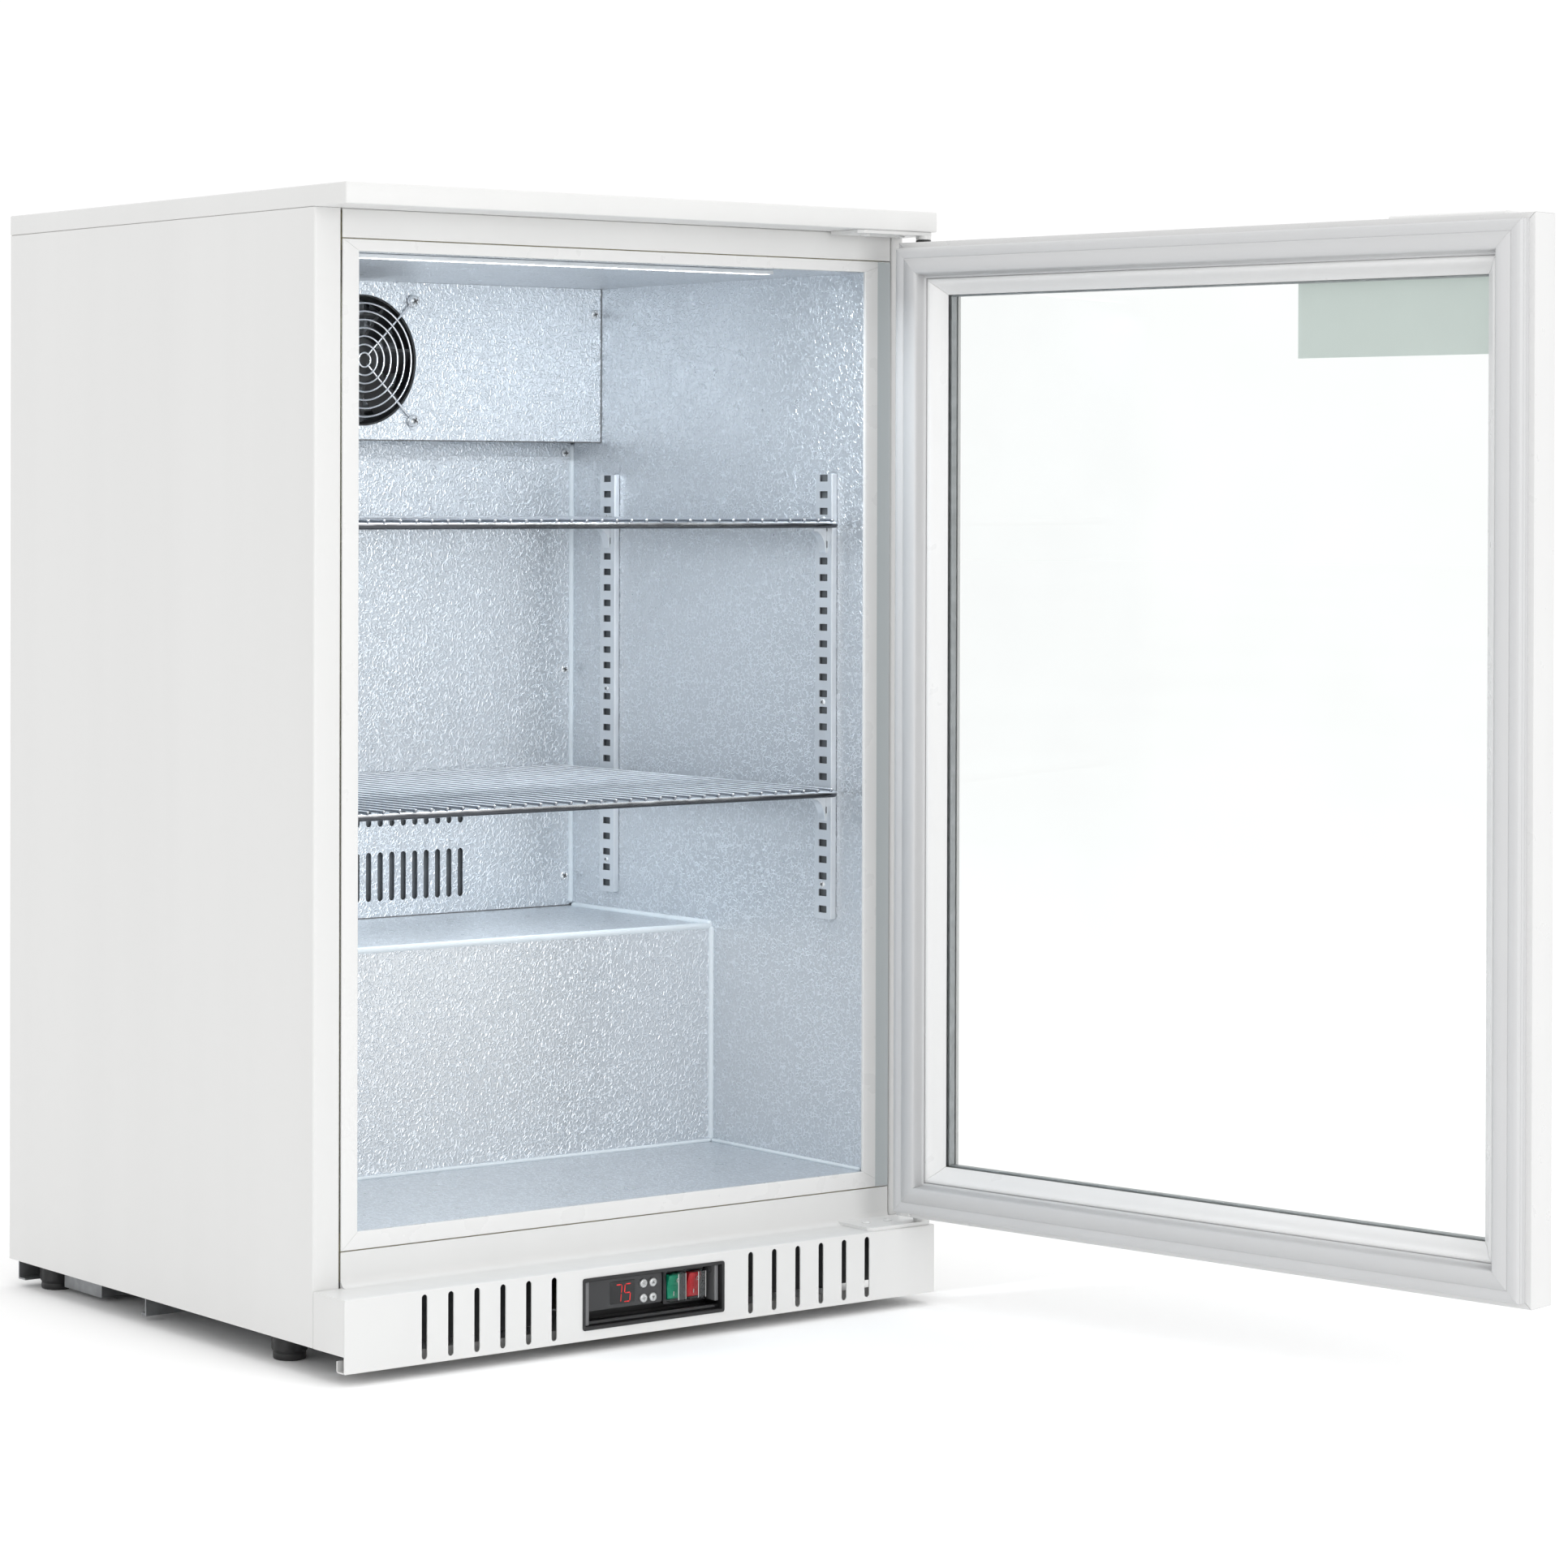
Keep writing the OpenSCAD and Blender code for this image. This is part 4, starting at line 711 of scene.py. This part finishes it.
# clips: gussets under the shelves, hollowed in a quarter ellipse
parts = []
for z in SHELVES.values():
    top = z - 8.7
    gusset = [(0, top), (14, top), (14, top - 2.4)]
    for degrees in range(10, 91, 10):
        a = math.radians(degrees)
        gusset.append((14 - 12.6 * math.sin(a), top - 2.4 - 17.6 * (1 - math.cos(a))))
    gusset.append((0, top - 22))
    for sx in SIDES:
        for y in RAIL_Y:
            parts.append(prism([(sx * (RAIL_X - 0.1 - u), v) for u, v in gusset], y - 4.4, y + 4.4, "Y"))
make("shelf_gussets", join(parts), "rail_steel", "shelf_clips")

# shelves: a rim with round corners, a middle rod, and 33 wires across
SHELF_X, SHELF_Y0, SHELF_Y1, CORNER, WIRES = 253.0, -208.0, 175.0, 7.0, 33
MID_Y = (SHELF_Y0 + SHELF_Y1) / 2
for node, z in SHELVES.items():
    rim_z = z - 5.4
    rim = []
    for sx, sy, y, backwards in ((1, 1, SHELF_Y1, 0), (1, -1, SHELF_Y0, 1), (-1, -1, SHELF_Y0, 0),
                                 (-1, 1, SHELF_Y1, 1)):
        for k in range(6):
            a = math.radians(90 * (5 - k if backwards else k) / 5)
            rim.append((sx * (SHELF_X - CORNER) + CORNER * math.sin(a) * sx,
                        y + (CORNER * math.cos(a) - CORNER) * sy, rim_z))
    rods = [tube(rim, 2.9, 16, True), tube([(-SHELF_X, MID_Y, rim_z), (SHELF_X, MID_Y, rim_z)], 2.8, 14)]
    make(node + "_rim", join(rods), "rim_chrome_painted_reflection", body=node, smooth=60)
    wires = []
    for i in range(WIRES):
        x = (2 * i / (WIRES - 1) - 1) * (SHELF_X - CORNER)
        wires.append(tube([(x, y, z - 1.5) for y in (SHELF_Y0 - 2.4, MID_Y, SHELF_Y1 + 2.4)], 1.45, 10))
    make(node + "_grid", join(wires), "wire_chrome_painted_reflection", node, node, smooth=60)

# ---------------------------------------------------------------- controls
BOX_Y1 = LIP_Y + 21.8
mouth = rounded(-69.6, 69.6, BOX_Z0 + 2.4, BOX_Z1 - 2.4, 1.2)
rim = plate(rounded(-72, 72, BOX_Z0, BOX_Z1, 2.0), [mouth], 0.8)
parts = [moved(rim, upright(LIP_Y - 0.4))]
for x0, x1, y0 in ((-70.2, -69.2, LIP_Y), (69.2, 70.2, LIP_Y), (-70, 70, LIP_Y + 20.6)):
    parts.append(slab(x0, x1, y0, BOX_Y1, BOX_Z0 + 2, BOX_Z1 - 2, 0.2))
for z in (BOX_Z0 + 1.7, BOX_Z1 - 2.9):
    parts.append(slab(-70, 70, LIP_Y, BOX_Y1, z, z + 1.2, 0.2))
make("control_box", join(parts), "black_plastic", "control_housing")
ledges = [slab(-69, 69, LIP_Y + 3, LIP_Y + 20, BOX_Z0 + 2.9, BOX_Z0 + 6.5, 1.0),
          slab(-68.8, -65, LIP_Y + 2.5, LIP_Y + 12, BOX_Z0 + 4, BOX_Z1 - 4, 0.8)]
make("control_box_ledge", join(ledges), "black_gloss")
tabs = [slab(-68.4, -64.2, LIP_Y + 1.6, LIP_Y + 5, BOX_Z0 + 3.2, BOX_Z1 - 3.4, 0.8),
        slab(64.6, 68.6, LIP_Y + 3, LIP_Y + 16, BOX_Z0 + 9, BOX_Z1 - 3.4, 0.8)]
make("control_tab", join(tabs), "tab_grey")

# controller: fascia with four holes, display window and the two digits
KEYS = {"button_set": (-3.8, 47.4), "button_up": (5.8, 47.4), "button_defrost": (-3.8, 35.4),
        "button_down": (5.8, 35.4)}
holes = [circle(x, z, 3.75, 32) for x in (-3.8, 5.8) for z in (47.4, 35.4)]
fascia = plate(rounded(-63, 15.6, 30.5, 54, 1.6), holes, 1.6)
make("controller_fascia", join([moved(fascia, upright(FASCIA_Y + 0.8)),
                                slab(-62.8, 15.4, FASCIA_Y + 1.5, FASCIA_Y + 30, 30.7, 53.8, 0.4)]),
     "fascia_gloss", "controller_body")
make("display_window", slab(-37, -12, FASCIA_Y - 0.25, FASCIA_Y + 0.4, 33.5, 51.5, 0.25), "black_gloss")
SEGMENTS = {"a": ((0, 2), (1, 2)), "b": ((1, 2), (1, 1)), "c": ((1, 1), (1, 0)), "d": ((0, 0), (1, 0)),
            "e": ((0, 0), (0, 1)), "f": ((0, 1), (0, 2)), "g": ((0, 1), (1, 1))}
DIGIT_W, DIGIT_H, DIGIT_Z, SLANT = 6.0, 7.0, 34.6, 0.10


def segment(x0, ends):
    """One bar of a digit, pointed at both ends."""
    p, q = (Vector((x0 + u * DIGIT_W + v * DIGIT_H * SLANT, DIGIT_Z + v * DIGIT_H)) for u, v in ends)
    d = (q - p).normalized()
    n = Vector((-d.y, d.x)) * 0.38
    a, b = p + d * 0.35, q - d * 0.35
    points = [a, a + d * 0.5 + n, b - d * 0.5 + n, b, b - d * 0.5 - n, a + d * 0.5 - n]
    return prism([tuple(k) for k in points], FASCIA_Y - 0.36, FASCIA_Y - 0.2, "Y")


lit = [segment(x0, SEGMENTS[k]) for x0, on in ((-32.5, "abc"), (-23.3, "afgcd")) for k in on]
make("display_digits", join(lit), "digit_red")

# buttons, each with a mark: three lines, a cross or an arrow
for name, (x, z) in KEYS.items():
    cap = lathe([(3.6, 0), (3.6, 4.0), (3.35, 4.4), (3.0, 4.62), (1.5, 4.7), (0.02, 4.7)], 32)
    make(name + "_cap", moved(cap, place(x, FASCIA_Y + 2.9, z, "-Y")), "button_silver", name, name)
    face = (FASCIA_Y - 1.86, FASCIA_Y - 1.66)
    if name == "button_set":
        mark = [slab(x - 1.5, x + 1.5, *face, z + k - 0.18, z + k + 0.18, 0) for k in (-1.0, 0, 1.0)]
    elif name == "button_defrost":
        mark = [slab(x - 0.18, x + 0.18, *face, z - 1.7, z + 1.7, 0),
                slab(x - 1.6, x + 1.6, *face, z - 0.18, z + 0.18, 0)]
    else:
        k = 1 if name == "button_up" else -1
        mark = [prism([(x - 1.6, z - 1.0 * k), (x + 1.6, z - 1.0 * k), (x, z + 1.5 * k)], *face, "Y")]
    make(name + "_mark", join(mark), "dark_print_and_shade", body=name)

# rockers: bezel, tilted key with a ring and a bar on it, and a clear cap over both
ROCKER_Z = 42
CAP_Y0 = FASCIA_Y - 7.4


def splash_cap(x):
    """Thin shell with a tapered front, open at the back."""
    outer = rounded(x - 8.4, x + 8.4, 29.8, 54.2, 2.0)
    inner = rounded(x - 7.8, x + 7.8, 30.4, 53.6, 1.6)
    verts = []
    for outline, bend, front in ((outer, 1.2, 0.1), (inner, 1.5, 0.7)):
        verts += [(u, FASCIA_Y - 0.1, w) for u, w in outline] + [(u, CAP_Y0 + bend, w) for u, w in outline]
        verts += [(x + (u - x) * 0.9, CAP_Y0 + front, ROCKER_Z + (w - ROCKER_Z) * 0.94) for u, w in outline]
    n = len(outer)
    pairs = [(i, (i + 1) % n) for i in range(n)]
    faces = [[r + i, r + j, r + n + j, r + n + i] for r in (0, n) for i, j in pairs]
    faces += [list(range(2 * n, 3 * n))]
    faces += [[r + i, r + n + i, r + n + j, r + j] for r in (3 * n, 4 * n) for i, j in pairs]
    faces += [list(range(5 * n, 6 * n))[::-1]]
    faces += [[i, 3 * n + i, 3 * n + j, j] for i, j in pairs]
    return verts, faces


half = 10.0
key = [(-4.3, -half), (-5.0, -half + 0.6), (-5.2, -half + 1.2), (-4.5, -5), (-3.9, -2), (-3.5, 0), (-3.9, 2),
       (-4.5, 5), (-5.2, half - 1.2), (-5.0, half - 0.6), (-4.3, half), (-1, half), (1.2, 3), (1.2, -3),
       (-1, -half)]
pivot = moved(lathe([(1, 0), (1, 14.4)], 16), place(-7.2, 0, 0, "X"))
bezels, caps, cap_lines, panes = [], [], [], []
for x, node, mat in ((27.0, "rocker_power", "green_rocker"), (47.5, "rocker_light", "red_rocker")):
    bezel = plate(rounded(x - 10.1, x + 10.1, 28, 56, 1.4), [rounded(x - 6.6, x + 6.6, 31.2, 52.8, 0.8)], 4.0)
    bezels.append(moved(bezel, upright(FASCIA_Y + 2.0)))
    for dx in (-8.4, 6.7):
        bezels.append(slab(x + dx, x + dx + 1.7, FASCIA_Y + 3, FASCIA_Y + 30, 30, 54, 0.3))
    caps.append(splash_cap(x))
    # two thin white lines down the front of each cap, and a half-clear dark pane between them
    for dx, dy in ((0, -0.05), (7.9, 0.5)):
        cap_lines.append(tube([(x + dx, CAP_Y0 + dy, z) for z in (31.4, ROCKER_Z, 52.6)], 0.24, 8))
    panes.append(slab(x + 0.3, x + 7.3, CAP_Y0 + 0.12, CAP_Y0 + 0.3, 31.6, 52.4, 0))
    tilt = Matrix.Translation((x, FASCIA_Y + 3, ROCKER_Z)) @ Matrix.Rotation(math.radians(8), 4, "X")
    make(node + "_cap", moved(join([prism(key, -6.2, 6.2, "X"), pivot]), tilt), mat, node, node)
    oval = [(3.4 + u, -4.75, 5.2 + v * 1.5 / 1.3) for u, v in circle(0, 0, 1.3, 20)]
    sign = join([tube(oval, 0.28, 6, True), slab(-0.3, 0.3, -5.05, -4.5, -7.2, -3.8, 0.1)])
    make(node + "_mark", moved(sign, tilt), "mark_white", body=node)
make("switch_bezels", join(bezels), "black_plastic", "rocker_bezels")
make("splash_caps", join(caps), "clear_cap", "rocker_covers")
make("splash_cap_lines", join(cap_lines), "mark_white")
make("splash_cap_panes", join(panes), "cap_dark_pane")

# ---------------------------------------------------------------- door, built closed and swung open
# outlines of its bars are (in from the frame's edge, out from the frame's inner face)
bar = [(0.9, 0.0), (0.25, 0.25), (0.0, 0.9), (0.0, DOOR_T - 1.2), (0.35, DOOR_T - 0.35), (1.2, DOOR_T),
       (43.6, DOOR_T), (44.3, DOOR_T - 0.3), (44.6, DOOR_T - 1.0), (44.6, 25.7), (31.0, 25.7), (31.0, 0.5),
       (30.5, 0.0)]
make("door_bars", ring(bar, 0.22), "door_paint", "door_frame", "door")
seal = [(5.0, 0), (5.0, -3.2), (5.7, -3.7), (5.0, -4.2), (5.0, -7.6), (5.7, -8.1), (5.0, -8.6), (5.1, -10.2),
        (6.4, -11.2), (9.0, -11.6), (13.4, -11.7), (14.2, -11.2), (15.0, -12.0), (24.4, -12.1), (26.2, -11.8),
        (27.4, -10.6), (27.8, -8.2), (28.2, -5.0), (28.9, -3.4), (30.2, -2.6), (30.9, -1.8), (30.9, 0)]
make("door_seal", ring(seal, 0.05), "gasket", "door_gasket", "door", smooth=50)
bead = [(31.05, 1.6), (31.05, -1.0), (31.6, -1.7), (32.8, -2.0), (34.4, -1.4), (36.2, 0.4), (38.4, 3.4),
        (41.5, 7.2), (43.8, 8.9), (44.5, 9.6), (44.6, 10.6), (31.05, 10.6)]
make("glazing_bead_strips", ring(bead, 0.16), "bead_white", "glazing_beads", "door", smooth=45)
spacer = [(36.0, 14.9), (45.2, 14.9), (46.0, 15.4), (46.0, 21.0), (45.2, 21.5), (36.0, 21.5)]
make("pane_spacer", ring(spacer, 0.05), "spacer", "glass_spacer", "door")

# perforation: a row of dots along each bar of the spacer
DOT_IN, DOT_PITCH = 38.6, 5.0
dots = []
for u, v, du, dv, n in ((DOOR_X - DOT_IN, DOOR_Z0 + 50, 0, DOT_PITCH, 144),
                        (-DOOR_X + DOT_IN, DOOR_Z0 + 50, 0, DOT_PITCH, 144),
                        (-DOOR_X + 50, DOOR_Z0 + DOT_IN, DOT_PITCH, 0, 100),
                        (-DOOR_X + 50, DOOR_Z1 - DOT_IN, DOT_PITCH, 0, 100)):
    for i in range(n):
        x, z = u + du * i, v + dv * i
        dots.append(slab(x - 0.9, x + 0.9, DOOR_Y - 14.95, DOOR_Y - 14.75, z - 0.9, z + 0.9, 0))
make("spacer_perforation", join(dots), "mark_white", body="door")

# finger pull over the top edge, blank plate behind the glass, corner clip and pin bushes
pull_y0, pull_y1 = DOOR_Y - DOOR_T - 1.2, DOOR_Y - DOOR_T - 21.6
pull = fold([(pull_y0, DOOR_Z1 - 34), (pull_y0, DOOR_Z1 + 3.3), (pull_y1, DOOR_Z1 + 3.3),
             (pull_y1, DOOR_Z1 - 12)], 2.2, 1.8, 6)
make("finger_pull", prism(pull, -256, -155, "X"), "white_plastic", "door_handle", "door")
# the plate's faint glow is painted light
make("blank_plate", slab(-253.8, -77.8, DOOR_Y - 26.0, DOOR_Y - 25.75, 789.3, 848.3, 0.1), "label",
     "label_plate", "door")
make("corner_clip", slab(283, 292, DOOR_Y + 0.2, DOOR_Y + 3.2, 77, 84, 0.8), "white_plastic", body="door")
bush = lathe([(3.6, -2.9), (6.2, -2.9), (6.4, -2.6), (6.4, -0.3), (6.2, 0.05), (5.5, 0.1), (5.5, 20),
              (3.6, 20)], 32)
parts = [moved(bush, place(PIN_X, PIN_Y, z, axis)) for z, axis in ((DOOR_Z0, "Z"), (DOOR_Z1, "-Z"))]
make("pin_bushes", join(parts), "black_plastic", "hinge_bushes", "door")

# ---------------------------------------------------------------- feet
foot = [(11.8, 0), (12.8, 0.4), (13.2, 1.6), (13.2, 4.6), (12.9, 5.4), (13.2, 6.4), (14.2, 7.6), (14.5, 9.0),
        (14.5, 18.6), (14.2, 20.2), (13.2, 21), (5.0, 21), (5.0, 54)]


def flutes(i, j):
    """Grips round the foot's knob: every second group of three points lies 0.9 deeper."""
    return -0.9 if 6 < i < 9 and (j // 3) % 2 else 0.0


for sx, side in ((-1, "left"), (1, "right")):
    for y, end in ((-162.0, "front"), (203.0, "rear")):
        node = "foot_" + end + "_" + side
        make(node + "_pad", moved(lathe(foot, 48, flutes), place(sx * 272, y, 0)), "foot_rubber", node, node)

# ---------------------------------------------------------------- what stays CAD gets its material
for row in frame["record"]["subparts"]:
    o = frame["nodes"][row["node"]]
    o.data.materials.clear()
    o.data.materials.append(MATERIAL[row["material_slot"]])

# ---------------------------------------------------------------- stage, in metres from here on
world = bpy.data.worlds.new("studio")
bpy.context.scene.world = world
world.use_nodes = True
background = world.node_tree.nodes["Background"]
background.inputs["Color"].default_value = (1, 1, 1, 1)
background.inputs["Strength"].default_value = 1.05

FLOOR = 30.0
me = bpy.data.meshes.new("floor")
me.from_pydata([(-FLOOR, -FLOOR, 0), (FLOOR, -FLOOR, 0), (FLOOR, FLOOR, 0), (-FLOOR, FLOOR, 0)], [],
               [[0, 1, 2, 3]])
floor = bpy.data.objects.new("floor", me)
bpy.context.scene.collection.objects.link(floor)
ft = Tree("floor_white")
cloud = ft.ramp(ft.noise(0.7, 2.0), [(0.3, (0.988, 0.988, 0.988)), (0.7, (1, 1, 1))])
ft.link(cloud, ft.b.inputs["Base Color"])
ft.set(Roughness=0.9, Specular_IOR_Level=0.0)
me.materials.append(ft.m)


def area(name, loc, target, size, power, color=(1, 1, 1)):
    """Rectangular light at loc, turned to look at target."""
    light = bpy.data.lights.new(name, "AREA")
    light.shape = "RECTANGLE"
    light.size, light.size_y = size
    light.energy = power
    light.color = color
    o = bpy.data.objects.new(name, light)
    bpy.context.scene.collection.objects.link(o)
    o.location = loc
    o.rotation_mode = "QUATERNION"
    o.rotation_quaternion = (Vector(target) - Vector(loc)).to_track_quat("-Z", "Y")
    return o


area("key", (0.15, -3.9, 0.95), (0, -0.1, 0.5), (2.0, 1.8), 28)
area("fill_top", (0, -0.5, 3.4), (0, -0.3, 0.4), (3.0, 3.0), 21)
COOL = (0.88, 0.95, 1.0)
for name, loc, target, size, power in (
        ("cavity_strip", (-0.037, -0.213, 0.862), (-0.02, -0.03, 0.3), (0.41, 0.01), 1.2),
        ("bay_wash_upper", (0, -0.02, 0.64), (0, -0.02, 0), (0.42, 0.26), 0.18),
        ("bay_wash_lower", (0, 0.04, 0.41), (0, 0.04, 0), (0.42, 0.2), 0.31)):
    area(name, loc, target, size, power, COOL).visible_camera = False

# the camera that was fitted to the cabinet's edges: nearly level, with a shifted lens to frame the object
CAMERA_AT, HEADING, PITCH, ROLL = (-2.11415, -2.98021, 0.68161), (0.5799, 0.8147), -0.44, 0.12
cam = bpy.data.cameras.new("camera")
cam.lens, cam.sensor_width = 98.06, 36.0
cam.shift_x, cam.shift_y = 0.2063, -0.1638
cam.clip_start, cam.clip_end = 0.05, 200
camera = bpy.data.objects.new("camera", cam)
bpy.context.scene.collection.objects.link(camera)
p, r = math.radians(PITCH), math.radians(ROLL)
fwd = Vector((HEADING[0] * math.cos(p), HEADING[1] * math.cos(p), math.sin(p)))
right = Vector((HEADING[1], -HEADING[0], 0)).normalized()
up = right.cross(fwd).normalized()
right, up = right * math.cos(r) + up * math.sin(r), up * math.cos(r) - right * math.sin(r)
rows = [(right[i], up[i], -fwd[i], CAMERA_AT[i]) for i in range(3)]
camera.matrix_world = Matrix(rows + [(0, 0, 0, 1)])
bpy.context.scene.camera = camera
bpy.context.scene.view_settings.view_transform = "Standard"
